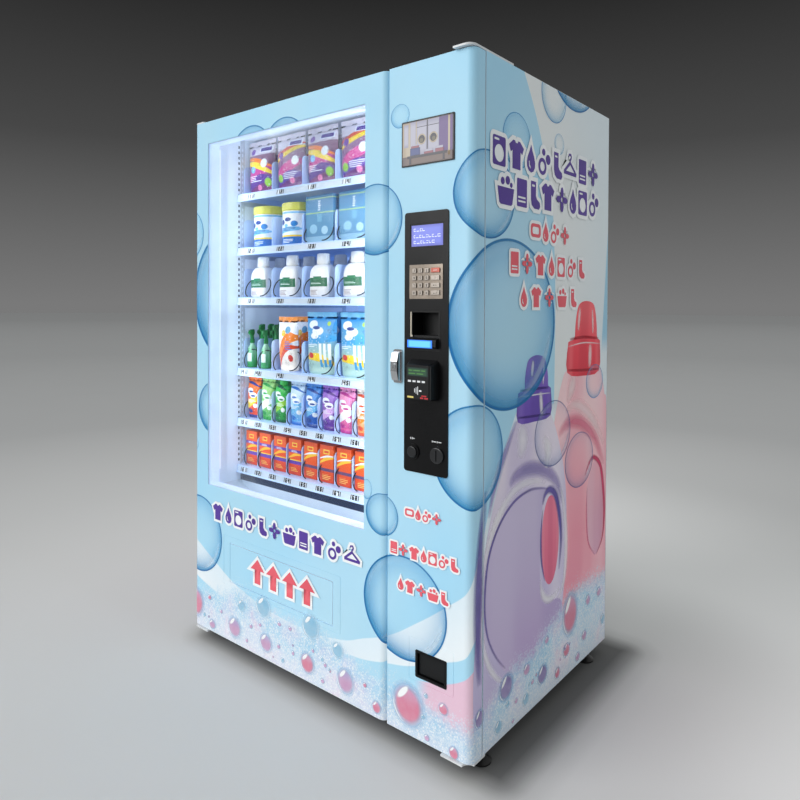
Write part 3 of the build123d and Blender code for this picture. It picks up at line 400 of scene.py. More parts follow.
SLOT_OF = {
    "rear_panel": [M_BACK], "inner_liner": [M_WALL_GLOW, M_INNER_BACK_GLOW, M_GALV], "tray_rails": [M_GALV], "base_frame": [M_GALV],
    "leveling_feet": [M_FOOT], "door_hinges": [M_HINGE], "delivery_hopper": [M_HOPPER], "power_supply": [M_DARK],
    "window_door_liner": [M_REVEAL_GLOW], "window_glass": [M_GLASS], "window_gasket": [M_RUBBER], "led_strips": [M_LAMP],
    "control_door_liner": [M_LINER], "control_fascia": [M_FASCIA], "display_module": [M_BLACK],
    "keypad_plate": [M_KEYPLATE], "bill_acceptor": [M_BLACK], "card_reader": [M_BLACK], "coin_entry": [M_BUTTON],
    "coin_return_button": [M_BUTTON], "coin_cup": [M_FASCIA], "coin_flap": [M_BLACK], "coin_mechanism": [M_DARK],
    "lock_housing": [M_CHROME], "lock_handle": [M_CHROME], "picture_screen": [M_BLACK],
}
for n in NODES:
    if n.startswith("key_"):
        SLOT_OF[n] = [M_KEY_RED if n == "key_clear" else M_KEY]
    if n.startswith("tray_"):
        SLOT_OF.setdefault(n, [M_TRAY_GLOW, M_MOTOR_GLOW])
    if n.startswith("coil"):
        SLOT_OF[n] = [M_WIRE]
for n in ("window_door_skin", "control_door_skin", "delivery_flap", "cabinet_shell"):
    SLOT_OF[n] = [M_WRAP, M_LINER]

for name, mats in SLOT_OF.items():
    me = NODES[name].data
    me.materials.clear()
    for m in mats:
        me.materials.append(m)
    if len(mats) == 1:
        for poly in me.polygons:
            poly.material_index = 0
        continue
    for poly in me.polygons:
        c, nrm = poly.center, poly.normal
        x, y, z = c.x * 1000 + CX, c.y * 1000 + CY, c.z * 1000
        if name in ("window_door_skin", "control_door_skin"):
            inside = y > 49.5 or nrm.y > 0.5 or (2.2 < y < 48 and (abs(nrm.z) > 0.9) and 50 < z < 1824)
            if name == "window_door_skin":
                inside = inside or (nrm.x > 0.5 and x < 60 and y > 1) or (nrm.x < -0.5 and 800 < x < 905 and y > 1 and x < 903)
            else:
                inside = inside or (nrm.x < -0.5 and x > 1100 and y > 3)
        elif name == "delivery_flap":
            inside = y > 0.6
        elif name == "inner_liner":
            inside = y > 760 and nrm.y < -0.5
        elif name == "cabinet_shell":
            outer = (abs(nrm.x) > 0.9 and (x < 0.5 or x > W - 0.5)) or (nrm.z > 0.9 and z > H - 0.5)
            inside = not outer
        else:
            inside = y > 701.5 and name.startswith("tray_")
        poly.material_index = 1 if inside else 0
        if name == "inner_liner" and y > 760 and nrm.y > 0.5:
            poly.material_index = 2

# ------------------------------------------------------------------ printed motifs laid on the film
R_EDGE = 22.0


def wrap_xyz(u, z, panel, off):
    """Point of the film at u, z (mm), lifted off the skin by off."""
    k = R_EDGE * math.sqrt(2.0)
    if panel in ("control", "side") and u > W - R_EDGE:
        if u < W + R_EDGE:
            a = math.pi / 4 + math.asin(max(-1.0, min(1.0, (u - W) / k)))
            x, y, nx, ny = W - R_EDGE + R_EDGE * math.sin(a), R_EDGE - R_EDGE * math.cos(a), math.sin(a), -math.cos(a)
        else:
            x, y, nx, ny = W, u - W, 1.0, 0.0
    elif panel in ("window", "left") and u < R_EDGE:
        if u > -R_EDGE:
            a = math.pi / 4 + math.asin(max(-1.0, min(1.0, -u / k)))
            x, y, nx, ny = R_EDGE - R_EDGE * math.sin(a), R_EDGE - R_EDGE * math.cos(a), -math.sin(a), -math.cos(a)
        else:
            x, y, nx, ny = 0.0, -u, -1.0, 0.0
    elif panel == "window" and u > 884.0:
        t = min((u - 884.0) / R_EDGE, 0.9999)
        x, y, nx, ny = u, R_EDGE - R_EDGE * math.sqrt(1 - t * t), t, -math.sqrt(1 - t * t)
    else:
        x, y, nx, ny = u, 0.0, 0.0, -1.0
    return P(x + nx * off, y + ny * off, z)


# panel name, CAD body, rectangles (u0, u1, z0, z1) that show print
PANELS = [
    ("window", "window_door", [(-49, 80, 45, 1827), (824, 905.6, 45, 1827), (80, 824, 1752, 1827), (80, 207, 45, 556),
                               (702, 824, 45, 556), (207, 702, 378, 556), (207, 702, 45, 245)]),
    ("flap", "flap", [(209.6, 699.4, 247.6, 375.4)]),
    ("control", "control_door", [(911.2, 1010, 45, 1827), (1111, 1234, 45, 1827), (1010, 1111, 282, 1827), (1010, 1111, 45, 210)]),
    ("side", "base", [(1240, 2020, 47, 1829)]),
    ("left", "base", [(-835, -55, 47, 1829)]),
]
CUTS = [W - 22 + 4 * i for i in range(12)] + [-22 + 4 * i for i in range(12)]
CUTS_WINDOW = [884 + v for v in (4, 8, 12, 15, 18, 20, 21)]


def clip(bm, co, no):
    bmesh.ops.bisect_plane(bm, geom=bm.verts[:] + bm.edges[:] + bm.faces[:], dist=1e-6, plane_co=co, plane_no=no, clear_outer=True)


def lay(name, flat, material, off, panels=None):
    """Lays a flat mesh given in (u, 0, z) millimetres on every panel that it reaches, one piece for each body."""
    made = []
    us = [v.co.x for v in flat.verts]
    zs = [v.co.z for v in flat.verts]
    u0, u1, z0, z1 = min(us), max(us), min(zs), max(zs)
    for panel, body, rects in PANELS:
        if panels and panel not in panels:
            continue
        me = None
        total = bmesh.new()
        total.loops.layers.uv.new("UVMap")
        for a, b, c, d in rects:
            if a >= u1 or b <= u0 or c >= z1 or d <= z0:
                continue
            bm = flat.copy()
            if u0 < a:
                clip(bm, (a, 0, 0), (-1, 0, 0))
            if u1 > b:
                clip(bm, (b, 0, 0), (1, 0, 0))
            if z0 < c:
                clip(bm, (0, 0, c), (0, 0, -1))
            if z1 > d:
                clip(bm, (0, 0, d), (0, 0, 1))
            if not bm.faces:
                bm.free()
                continue
            cuts = CUTS + (CUTS_WINDOW if panel == "window" else [])
            lo, hi = min(v.co.x for v in bm.verts), max(v.co.x for v in bm.verts)
            for cu in cuts:
                if lo < cu < hi:
                    bmesh.ops.bisect_plane(bm, geom=bm.verts[:] + bm.edges[:] + bm.faces[:], dist=1e-6, plane_co=(cu, 0, 0), plane_no=(1, 0, 0))
            tmp = bpy.data.meshes.new("tmp")
            bm.to_mesh(tmp)
            total.from_mesh(tmp)
            bpy.data.meshes.remove(tmp)
            bm.free()
        if total.faces:
            for v in total.verts:
                v.co = wrap_xyz(v.co.x, v.co.z, panel, off + v.co.y)
            total.normal_update()
            me = bpy.data.meshes.new(f"{name}_{panel}")
            total.to_mesh(me)
            ob = bpy.data.objects.new(f"{name}_{panel}", me)
            bpy.context.scene.collection.objects.link(ob)
            me.materials.append(material)
            for poly in me.polygons:
                poly.use_smooth = True
            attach(ob, body)
            made.append(ob)
        total.free()
    return made


def disc_mesh(cu, cz, ru, rz, seg=72, rings=10):
    bm = bmesh.new()
    uv = bm.loops.layers.uv.new("UVMap")
    centre = bm.verts.new((cu, 0, cz))
    rows = []
    for r in range(1, rings + 1):
        f = r / rings
        rows.append([bm.verts.new((cu + ru * f * math.cos(2 * math.pi * i / seg), 0, cz + rz * f * math.sin(2 * math.pi * i / seg))) for i in range(seg)])
    for i in range(seg):
        j = (i + 1) % seg
        bm.faces.new((centre, rows[0][i], rows[0][j]))
        for a, b in zip(rows, rows[1:]):
            bm.faces.new((a[i], b[i], b[j], a[j]))
    for f in bm.faces:
        for loop in f.loops:
            c = loop.vert.co
            loop[uv].uv = ((c.x - cu) / ru / 2 + 0.5, (c.z - cz) / rz / 2 + 0.5)
    return bm


def poly_mesh(points, uv_fn=None, grid=None):
    """Filled outline in (u, z) millimetres; grid is not used."""
    bm = bmesh.new()
    uv = bm.loops.layers.uv.new("UVMap")
    vs = [bm.verts.new((x, 0, z)) for x, z in points]
    for tri in tessellate_polygon([[Vector((x, z, 0)) for x, z in points]]):
        try:
            bm.faces.new([vs[i] for i in tri])
        except ValueError:
            pass
    lo_u, hi_u = min(p[0] for p in points), max(p[0] for p in points)
    lo_z, hi_z = min(p[1] for p in points), max(p[1] for p in points)
    for f in bm.faces:
        for loop in f.loops:
            c = loop.vert.co
            loop[uv].uv = ((c.x - lo_u) / (hi_u - lo_u), (c.z - lo_z) / (hi_z - lo_z))
    return bm


def smooth_outline(points, n=10):
    """Closed Catmull-Rom curve through the points."""
    out = []
    m = len(points)
    for i in range(m):
        p0, p1, p2, p3 = (points[(i + k - 1) % m] for k in range(4))
        for j in range(n):
            t = j / n
            out.append(tuple(0.5 * ((2 * p1[k]) + (-p0[k] + p2[k]) * t + (2 * p0[k] - 5 * p1[k] + 4 * p2[k] - p3[k]) * t * t
                                    + (-p0[k] + 3 * p1[k] - 3 * p2[k] + p3[k]) * t ** 3) for k in (0, 1)))
    return out


def film_shader(t, col, alpha, co):
    """Printed layer: colour and cover, with the film's own fine grain."""
    fine = t.noise(co, 900.0, 2.0)
    peel = t.noise(co, 160.0, 2.0)
    grime = t.noise(co, 3.1, 6.0, 0.7)
    rough = t.range(t.add(t.mul(grime, 0.6), t.mul(fine, 0.4)), 0.3, 0.7, 0.34, 0.50)
    p = t.principled(Base_Color=col, Roughness=rough, Normal=t.bump(fine, 0.06, 0.0002, t.bump(peel, 0.05, 0.0004)))
    p.inputs["Specular IOR Level"].default_value = 0.22
    clear = t.node("ShaderNodeBsdfTransparent")
    m = t.node("ShaderNodeMixShader")
    t.put(m.inputs[0], alpha)
    t.nt.links.new(clear.outputs[0], m.inputs[1])
    t.nt.links.new(p.outputs[0], m.inputs[2])
    return t.finish(m.outputs[0])


def polar(t):
    uvx, uvy, _ = t.xyz(t.uv())
    px, py = t.sub(t.mul(uvx, 2.0), 1.0), t.sub(t.mul(uvy, 2.0), 1.0)
    r = t.math("SQRT", t.add(t.mul(px, px), t.mul(py, py)))
    return px, py, r


def bubble_material(name, rim, mid, strength=1.0, rim_w=0.027):
    t = Tree(name)
    co = t.coord()
    px, py, r = polar(t)
    side = t.range(t.add(t.mul(px, -0.62), t.mul(py, -0.78)), -0.9, 0.9, 0.35, 1.0)
    right = t.range(t.add(t.mul(px, 0.9), t.mul(py, -0.1)), 0.2, 1.0, 0.0, 0.8)
    lean = t.math("MAXIMUM", side, right)
    inner = t.mul(t.math("POWER", r, 4.0), lean)
    ring = t.mul(t.step(r, 1.0 - 2.0 * rim_w, 1.0 - rim_w), t.sub(1.0, t.step(r, 0.988, 1.0)))
    body_col = t.mix(t.step(t.mul(inner, lean), 0.15, 0.8), mid, t.mix(0.35, mid, rim))
    body_col = t.mix(t.mul(t.noise(co, 14.0, 3.0), 0.16), body_col, rgb(170, 224, 248))
    col = t.mix(t.mul(ring, t.range(lean, 0.3, 1.0, 0.75, 1.0)), body_col, rim)
    # bright crescent inside the lower right, soft glow inside the upper left
    qx, qy = t.add(px, 0.05), t.sub(py, 0.045)
    r2 = t.math("SQRT", t.add(t.mul(qx, qx), t.mul(qy, qy)))
    cres = t.mul(t.mul(t.step(r2, 0.84, 0.90), t.sub(1.0, t.step(r, 0.895, 0.915))), t.step(t.add(t.mul(px, 0.8), t.mul(py, -0.6)), 0.66, 0.86))
    tx, ty = t.sub(px, 0.03), t.add(py, 0.03)
    r3 = t.math("SQRT", t.add(t.mul(tx, tx), t.mul(ty, ty)))
    glow = t.mul(t.mul(t.step(r3, 0.80, 0.93), t.sub(1.0, t.step(r, 0.90, 0.97))), t.step(t.add(t.mul(px, -0.55), t.mul(py, 0.83)), 0.35, 0.95))
    light = t.math("MAXIMUM", t.mul(cres, 0.5), t.mul(glow, 0.30))
    col = t.mix(light, col, rgb(246, 252, 255))
    a = t.math("MAXIMUM", t.mul(inner, 0.86 * strength), t.mul(ring, t.range(lean, 0.3, 1.0, 0.72, 1.0)))
    a = t.math("MAXIMUM", a, t.mul(light, 0.9))
    a = t.math("MULTIPLY", a, t.sub(1.0, t.step(r, 0.99, 1.0)), clamp=True)
    return film_shader(t, col, a, co)


def drop_material(name, core, core_low, halo, cover=0.8):
    """Small soap bubble in the foam: tinted core, pale halo, white glint."""
    t = Tree(name)
    co = t.coord()
    px, py, r = polar(t)
    core_mask = t.sub(1.0, t.step(r, 0.52, 0.84))
    halo_mask = t.sub(1.0, t.step(r, 0.72, 1.0))
    col = t.mix(t.step(py, -0.1, 0.6), core_low, core)
    col = t.mix(t.mul(t.noise(co, 60.0, 3.0), 0.3), col, rgb(250, 240, 248))
    col = t.mix(core_mask, halo, col)
    gx, gy = t.add(px, 0.26), t.sub(py, 0.42)
    rot = t.add(t.mul(gx, 0.7), t.mul(gy, 0.7))
    rot2 = t.sub(t.mul(gx, 0.7), t.mul(gy, 0.7))
    glint = t.sub(1.0, t.step(t.math("SQRT", t.add(t.mul(t.mul(rot, 2.2), t.mul(rot, 2.2)), t.mul(t.mul(rot2, 6.5), t.mul(rot2, 6.5)))), 0.65, 1.0))
    arc = t.mul(t.mul(t.step(r, 0.66, 0.72), t.sub(1.0, t.step(r, 0.76, 0.82))), t.step(t.add(t.mul(px, -0.8), t.mul(py, -0.5)), 0.45, 0.7))
    shine = t.math("MAXIMUM", glint, t.mul(arc, 0.8))
    col = t.mix(shine, col, rgb(253, 254, 255))
    a = t.math("MAXIMUM", t.mul(halo_mask, 0.45), t.mul(core_mask, cover))
    a = t.math("MAXIMUM", a, t.mul(shine, 0.95), clamp=True)
    return film_shader(t, col, a, co)


M_BUBBLE = bubble_material("bubble_blue", rgb(0, 108, 172), rgb(0, 158, 214))
M_BUBBLE_THIN = bubble_material("bubble_thin", rgb(16, 122, 190), rgb(90, 196, 242), 0.6, 0.022)
M_BUBBLE_VIOLET = bubble_material("bubble_violet", rgb(58, 74, 140), rgb(150, 170, 215), 0.5, 0.022)
M_DROP_PINK = drop_material("drop_pink", rgb(226, 150, 186), rgb(232, 118, 150), rgb(176, 208, 236))
M_DROP_LILAC = drop_material("drop_lilac", rgb(190, 170, 216), rgb(216, 158, 200), rgb(180, 216, 240), 0.72)
M_DROP_BLUE = drop_material("drop_blue", rgb(128, 200, 232), rgb(150, 210, 236), rgb(206, 232, 246), 0.62)
M_DROP_PURPLE = drop_material("drop_purple", rgb(120, 100, 172), rgb(150, 132, 190), rgb(150, 190, 226))

# (name, centre u, centre z, radius along u, radius along z, material)
BUBBLES = [
    ("b01", 950, 1695, 32, 32, M_BUBBLE_THIN), ("b02", 862, 1426, 98, 99, M_BUBBLE), ("b03", 1253, 1473, 131, 113, M_BUBBLE),
    ("b04", 1395, 1634, 76, 76, M_BUBBLE_THIN), ("b05", 1612, 1808, 80, 80, M_BUBBLE_THIN), ("b06", 1745, 1930, 170, 138, M_BUBBLE),
    ("b07", 1647, 1672, 31, 31, M_BUBBLE_THIN), ("b08", 1365, 1140, 261, 230, M_BUBBLE), ("b09", 1196, 811, 134, 133, M_BUBBLE),
    ("b10", 1620, 812, 116, 98, M_BUBBLE_VIOLET), ("b11", 1804, 701, 105, 88, M_BUBBLE_VIOLET), ("b12", 1918, 941, 68, 56, M_BUBBLE_THIN),
    ("b13", 890, 614, 59, 58, M_BUBBLE), ("b14", 968, 380, 144, 140, M_BUBBLE), ("b15", 834, 675, 20, 28, M_BUBBLE_THIN),
    ("b16", 27, 375, 136, 136, M_BUBBLE), ("b17", 318, 1662, 114, 114, M_BUBBLE), ("b18", 482, 1669, 106, 106, M_BUBBLE),
    ("b19", -35, 1440, 90, 91, M_BUBBLE_THIN), ("b20", 239, 1222, 241, 241, M_BUBBLE), ("b21", 118, 829, 92, 92, M_BUBBLE),
    ("b22", 2, 690, 22, 22, M_BUBBLE_THIN),
    ("b23", -300, 1180, 210, 210, M_BUBBLE), ("b24", -560, 1560, 120, 120, M_BUBBLE), ("b25", -640, 820, 150, 150, M_BUBBLE_THIN),
    ("b26", -430, 640, 90, 90, M_BUBBLE_VIOLET), ("b27", -180, 1660, 70, 70, M_BUBBLE_THIN), ("b28", -250, 520, 120, 120, M_BUBBLE),
    ("b29", -720, 1320, 84, 84, M_BUBBLE),
]
for i, (name, cu, cz, ru, rz, mat) in enumerate(BUBBLES):
    lay("print_" + name, disc_mesh(cu, cz, ru, rz, 96 if ru > 60 else 48, 12), mat, 0.62 + 0.02 * i)

DROPS = [
    ("pink", 13, 124, 47, 55), ("pink", 92, 160, 11, 10), ("blue", 271, 182, 23, 22), ("blue", 385, 211, 40, 37),
    ("blue", 608, 216, 40, 42), ("lilac", 108, 70, 22, 18), ("lilac", 234, 98, 39, 38), ("lilac", 398, 99, 34, 33),
    ("pink", 593, 100, 34, 35), ("blue", 722, 183, 26, 25), ("lilac", 754, 103, 37, 41), ("pink", 874, 74, 18, 20),
    ("lilac", 322, 129, 10, 8), ("lilac", 369, 148, 8, 7), ("lilac", 464, 180, 10, 8), ("lilac", 515, 181, 9, 8),
    ("lilac", 529, 109, 7, 9), ("lilac", 618, 146, 7, 7), ("lilac", 671, 121, 8, 8), ("blue", 658, 134, 8, 8),
    ("lilac", 461, 108, 9, 9), ("pink", 691, 111, 6, 6), ("pink", 985, 124, 58, 62), ("pink", 1101, 157, 17, 17),
    ("pink", 1134, 58, 17, 19), ("blue", 1045, 171, 8, 8), ("lilac", 1049, 62, 10, 10), ("blue", 1036, 112, 7, 7),
    ("purple", 1354, 170, 40, 38), ("lilac", 1467, 170, 22, 19), ("purple", 1561, 116, 34, 30), ("pink", 1658, 79, 19, 19),
    ("pink", 1720, 124, 26, 23), ("pink", 1745, 227, 58, 72), ("lilac", 1849, 121, 21, 19), ("lilac", 1877, 227, 20, 20),
    ("lilac", 1964, 225, 19, 18), ("blue", 1997, 120, 18, 21), ("lilac", 1800, 71, 18, 16), ("blue", 1315, 81, 20, 19),
    ("blue", 1462, 88, 20, 18), ("lilac", 1587, 207, 15, 13), ("lilac", 1408, 109, 10, 9), ("blue", 1362, 120, 12, 10),
    ("purple", 1222, 148, 23, 26), ("lilac", 1501, 121, 10, 8), ("lilac", 160, 130, 8, 8), ("blue", 60, 90, 9, 9),
    ("lilac", 300, 75, 8, 8), ("blue", 480, 70, 9, 9), ("pink", 830, 120, 8, 8), ("lilac", 660, 70, 9, 9),
]
for i in range(46):
    side = i % 4
    u = random.uniform(-820, -60) if side < 3 else random.choice([random.uniform(1260, 2000), random.uniform(20, 880)])
    z = random.uniform(60, 200 if side < 3 else 150)
    r = random.choice([6, 8, 10, 14, 18, 26, 34]) if side < 3 else random.uniform(4, 8)
    DROPS.append((random.choice(["pink", "lilac", "blue", "purple"]), u, z, r, r * random.uniform(0.92, 1.05)))
DROP_MATS = {"pink": M_DROP_PINK, "lilac": M_DROP_LILAC, "blue": M_DROP_BLUE, "purple": M_DROP_PURPLE}
for kind in DROP_MATS:
    merged = bmesh.new()
    merged.loops.layers.uv.new("UVMap")
    for k, cu, cz, ru, rz in DROPS:
        if k != kind:
            continue
        one = disc_mesh(cu, cz, ru * 1.12, rz * 1.12, 36, 4)
        tmp = bpy.data.meshes.new("tmp")
        one.to_mesh(tmp)
        merged.from_mesh(tmp)
        bpy.data.meshes.remove(tmp)
        one.free()
    lay(f"print_drops_{kind}", merged, DROP_MATS[kind], 1.30 + 0.03 * list(DROP_MATS).index(kind))
    merged.free()


# ------------------------------------------------------------------ two plain jugs printed on the sides
def jug_material(name, top, mid, low, shade, light, waves=3.0, phase=0.0, dark=0.5):
    """Printed plastic: body tone by height, soft vertical modelling, darker towards the outline."""
    t = Tree(name)
    co = t.coord()
    x, y, z = t.xyz(co)
    right = t.math("GREATER_THAN", x, 0.0)
    u = t.add(t.add(x, CX / 1000), t.mul(t.math("MAXIMUM", t.add(y, CY / 1000), 0.0), t.sub(t.mul(right, 2.0), 1.0)))
    uz = t.vec(u, 0.0, z)
    uvx, uvy, _ = t.xyz(t.uv())
    col = t.ramp(uvy, [(0.0, low), (0.45, mid), (0.85, top), (1.0, top)])
    soft = t.noise(t.scale(uz, (1.0, 1.0, 0.35)), 7.0, 2.0, 0.4)
    wave = t.math("SINE", t.add(t.mul(t.add(uvx, t.mul(soft, 0.35)), waves * 6.283), phase))
    col = t.mix(t.mul(t.step(wave, 0.2, 1.0), 0.55), col, light)
    col = t.mix(t.mul(t.step(wave, -0.3, -1.0), 0.35), col, shade)
    rim = t.add(t.step(uvx, 0.86, 1.0), t.sub(1.0, t.step(uvx, 0.0, 0.12)))
    col = t.mix(t.math("MULTIPLY", rim, dark, clamp=True), col, shade)
    col = foam_over(t, col, u, z, uz)
    return film_shader(t, col, t.add(t.mul(uvx, 0.0), 1.0), co)


J_LILAC = jug_material("jug_lilac", rgb(232, 222, 236), rgb(206, 196, 226), rgb(196, 186, 222), rgb(168, 154, 208), rgb(238, 230, 244), 1.0, 0.8, 0.35)
J_PANEL = jug_material("jug_lilac_panel", rgb(204, 192, 222), rgb(196, 180, 216), rgb(190, 166, 212), rgb(168, 150, 202), rgb(208, 196, 226), 0.6, 0.6, 0.15)
J_PINK = jug_material("jug_pink", rgb(252, 214, 218), rgb(246, 168, 182), rgb(238, 160, 180), rgb(232, 124, 152), rgb(252, 206, 214), 1.0, 1.0, 0.4)
J_PANEL_PINK = jug_material("jug_pink_panel", rgb(240, 176, 190), rgb(226, 170, 190), rgb(222, 168, 192), rgb(206, 136, 166), rgb(236, 190, 204), 0.6, 0.2, 0.15)
J_HOLE = jug_material("jug_hole_pink", rgb(240, 130, 156), rgb(234, 116, 146), rgb(228, 110, 142), rgb(206, 84, 124), rgb(244, 150, 170), 1.0, 0.3, 0.3)
J_CAP = jug_material("jug_cap_violet", rgb(140, 112, 200), rgb(118, 88, 190), rgb(104, 74, 176), rgb(84, 58, 152), rgb(142, 116, 202), 1.0, 0.4)
J_CAP_RED = jug_material("jug_cap_red", rgb(255, 112, 120), rgb(246, 74, 90), rgb(232, 60, 78), rgb(200, 42, 64), rgb(252, 120, 128), 1.0, 0.4)
J_EDGE = jug_material("jug_line_violet", rgb(120, 104, 190), rgb(104, 92, 186), rgb(118, 106, 194), rgb(90, 78, 176), rgb(176, 166, 214), 1.0, 0.0, 0.2)
J_EDGE_RED = jug_material("jug_line_red", rgb(236, 84, 120), rgb(224, 60, 104), rgb(226, 80, 122), rgb(206, 44, 92), rgb(250, 160, 180), 1.0, 0.0, 0.2)


def ring_outline(points, width):
    """Band of the given width just inside a closed outline, as quads."""
    bm = bmesh.new()
    uv = bm.loops.layers.uv.new("UVMap")
    n = len(points)
    area = sum(points[i][0] * points[(i + 1) % n][1] - points[(i + 1) % n][0] * points[i][1] for i in range(n))
    s = 1 if area > 0 else -1
    inner = []
    for i in range(n):
        (ax, az), (bx, bz) = points[i - 1], points[(i + 1) % n]
        dx, dz = bx - ax, bz - az
        ln = math.hypot(dx, dz) or 1.0
        inner.append((points[i][0] - dz / ln * width * s, points[i][1] + dx / ln * width * s))
    vo = [bm.verts.new((x, 0, z)) for x, z in points]
    vi = [bm.verts.new((x, 0, z)) for x, z in inner]
    lo, hi = min(p[1] for p in points), max(p[1] for p in points)
    for i in range(n):
        j = (i + 1) % n
        f = bm.faces.new((vo[i], vo[j], vi[j], vi[i]))
        for loop in f.loops:
            loop[uv].uv = (0.5, (loop.vert.co.z - lo) / (hi - lo))
    return bm


def mirror(points, about):
    return [(about - x, z) for x, z in points]


jug_body = [(1412, 880), (1392, 862), (1352, 800), (1318, 735), (1282, 665), (1250, 580), (1228, 480), (1210, 380), (1197, 280),
            (1196, 170), (1206, 90), (1260, 62), (1420, 55), (1560, 60), (1640, 90), (1668, 200), (1700, 330), (1712, 450), (1712, 590),
            (1694, 690), (1664, 770), (1632, 832), (1604, 872), (1590, 884), (1500, 890)]
jug_panel = [(1590, 652), (1479, 672), (1401, 663), (1341, 634), (1295, 594), (1262, 541), (1247, 472), (1246, 401), (1262, 335),
             (1300, 272), (1340, 220), (1420, 170), (1540, 160), (1650, 180), (1690, 260), (1672, 300), (1620, 316), (1570, 340), (1544, 400), (1540, 480), (1546, 560), (1560, 620)]
jug_hole = [(1606 + 56 * math.cos(a * math.pi / 18), 498 + 132 * math.sin(a * math.pi / 18)) for a in range(36)]
jug_cap = [(1408, 872), (1408, 940), (1414, 952), (1444, 958), (1446, 985), (1456, 1022), (1472, 1042), (1514, 1050), (1556, 1042),
           (1574, 1022), (1584, 985), (1586, 958), (1600, 950), (1604, 938), (1602, 868), (1500, 862)]
pink_body = [(1712, 992), (1676, 958), (1648, 900), (1622, 820), (1602, 700), (1594, 500), (1596, 250), (1640, 110), (1800, 70),
             (2019, 70), (2019, 400), (2019, 840), (2002, 890), (1980, 950), (1950, 990), (1830, 1000)]
pink_panel = [(1928, 679), (1975, 620), (1996, 502), (1985, 404), (1934, 359), (1880, 416), (1864, 511), (1866, 600)]
pink_cap = [(1712, 984), (1716, 1068), (1726, 1080), (1762, 1088), (1768, 1126), (1780, 1172), (1802, 1198), (1850, 1206), (1902, 1198),
            (1922, 1170), (1932, 1126), (1936, 1086), (1956, 1076), (1960, 1062), (1952, 974), (1830, 966)]


def jug(name, out, mat, off, smooth=4, line=None, line_w=5):
    pts = smooth_outline(out, smooth) if smooth else out
    for tag, q in (("r", pts), ("l", mirror(pts, 1185.0))):
        lay(f"print_{name}_{tag}", poly_mesh(q), mat, off, ["side", "control"] if tag == "r" else ["left", "window"])
        if line:
            lay(f"print_{name}_line_{tag}", ring_outline(q, line_w), line, off + 0.03, ["side", "control"] if tag == "r" else ["left", "window"])


def stroke_mesh(points, width, taper=0.55, start=0.0):
    """Ribbon along a smooth open path; u runs across it, v along it."""
    dense = []
    n = len(points)
    for i in range(n - 1):
        p0, p1, p2, p3 = points[max(i - 1, 0)], points[i], points[i + 1], points[min(i + 2, n - 1)]
        for k in range(8):
            a = k / 8
            dense.append(tuple(0.5 * (2 * p1[c] + (p2[c] - p0[c]) * a + (2 * p0[c] - 5 * p1[c] + 4 * p2[c] - p3[c]) * a * a
                                      + (3 * p1[c] - p0[c] - 3 * p2[c] + p3[c]) * a ** 3) for c in (0, 1)))
    dense.append(points[-1])
    bm = bmesh.new()
    uv = bm.loops.layers.uv.new("UVMap")
    rows, m = [], len(dense)
    for i, (x, z) in enumerate(dense):
        (ax, az), (bx, bz) = dense[max(i - 1, 0)], dense[min(i + 1, m - 1)]
        ln = math.hypot(bx - ax, bz - az) or 1.0
        nx, nz = -(bz - az) / ln, (bx - ax) / ln
        w = width / 2 * (1 - taper + taper * math.sin(math.pi * min(max((i / (m - 1)), start), 1.0)))
        rows.append([bm.verts.new((x + nx * w * q, 0, z + nz * w * q)) for q in (-1, -0.5, 0, 0.5, 1)])
    for i in range(m - 1):
        for j in range(4):
            f = bm.faces.new((rows[i][j], rows[i + 1][j], rows[i + 1][j + 1], rows[i][j + 1]))
            for loop, q in zip(f.loops, ((i, j), (i + 1, j), (i + 1, j + 1), (i, j + 1))):
                loop[uv].uv = (q[1] / 4, q[0] / (m - 1))
    return bm


def stroke_material(name, colour, colour2, cover, power=1.2):
    """Soft airbrushed stroke: full in the middle, fading across its width and towards both ends."""
    t = Tree(name)
    co = t.coord()
    a, b, _ = t.xyz(t.uv())
    across = t.math("POWER", t.math("MAXIMUM", t.math("SINE", t.mul(a, 3.1416)), 0.0), power)
    along = t.math("POWER", t.math("MAXIMUM", t.math("SINE", t.mul(b, 3.1416)), 0.0), 0.5)
    tone = t.noise(co, 9.0, 3.0)
    col = t.mix(t.step(tone, 0.35, 0.65), colour, colour2)
    return film_shader(t, col, t.mul(t.mul(across, along), t.range(tone, 0.3, 0.7, cover * 0.9, cover)), co)


SOFT = {
    "violet": stroke_material("soft_violet", rgb(84, 72, 158), rgb(102, 88, 172), 0.95),
    "line": stroke_material("soft_line", rgb(98, 86, 160), rgb(114, 100, 176), 0.85, 0.9),
    "lilac": stroke_material("soft_lilac", rgb(150, 138, 196), rgb(164, 150, 204), 0.75),
    "white": stroke_material("soft_white", rgb(252, 250, 253), rgb(244, 240, 250), 0.85),
    "blush": stroke_material("soft_blush", rgb(255, 234, 236), rgb(255, 226, 230), 0.85),
    "rose": stroke_material("soft_rose", rgb(224, 96, 136), rgb(230, 110, 148), 0.55),
    "crimson": stroke_material("soft_crimson", rgb(206, 34, 96), rgb(218, 50, 108), 0.95),
    "cap_dark": stroke_material("soft_cap_dark", rgb(58, 34, 120), rgb(70, 44, 132), 0.9, 0.7),
    "cap_red_dark": stroke_material("soft_cap_red_dark", rgb(176, 26, 48), rgb(186, 36, 56), 0.9, 0.7),
}


def stroke(name, points, width, kind, off, taper=0.55):
    for tag, q in (("r", points), ("l", mirror(points, 1185.0))):
        lay(f"print_{name}_{tag}", stroke_mesh(q, width, taper), SOFT[kind], off, ["side", "control"] if tag == "r" else ["left", "window"])


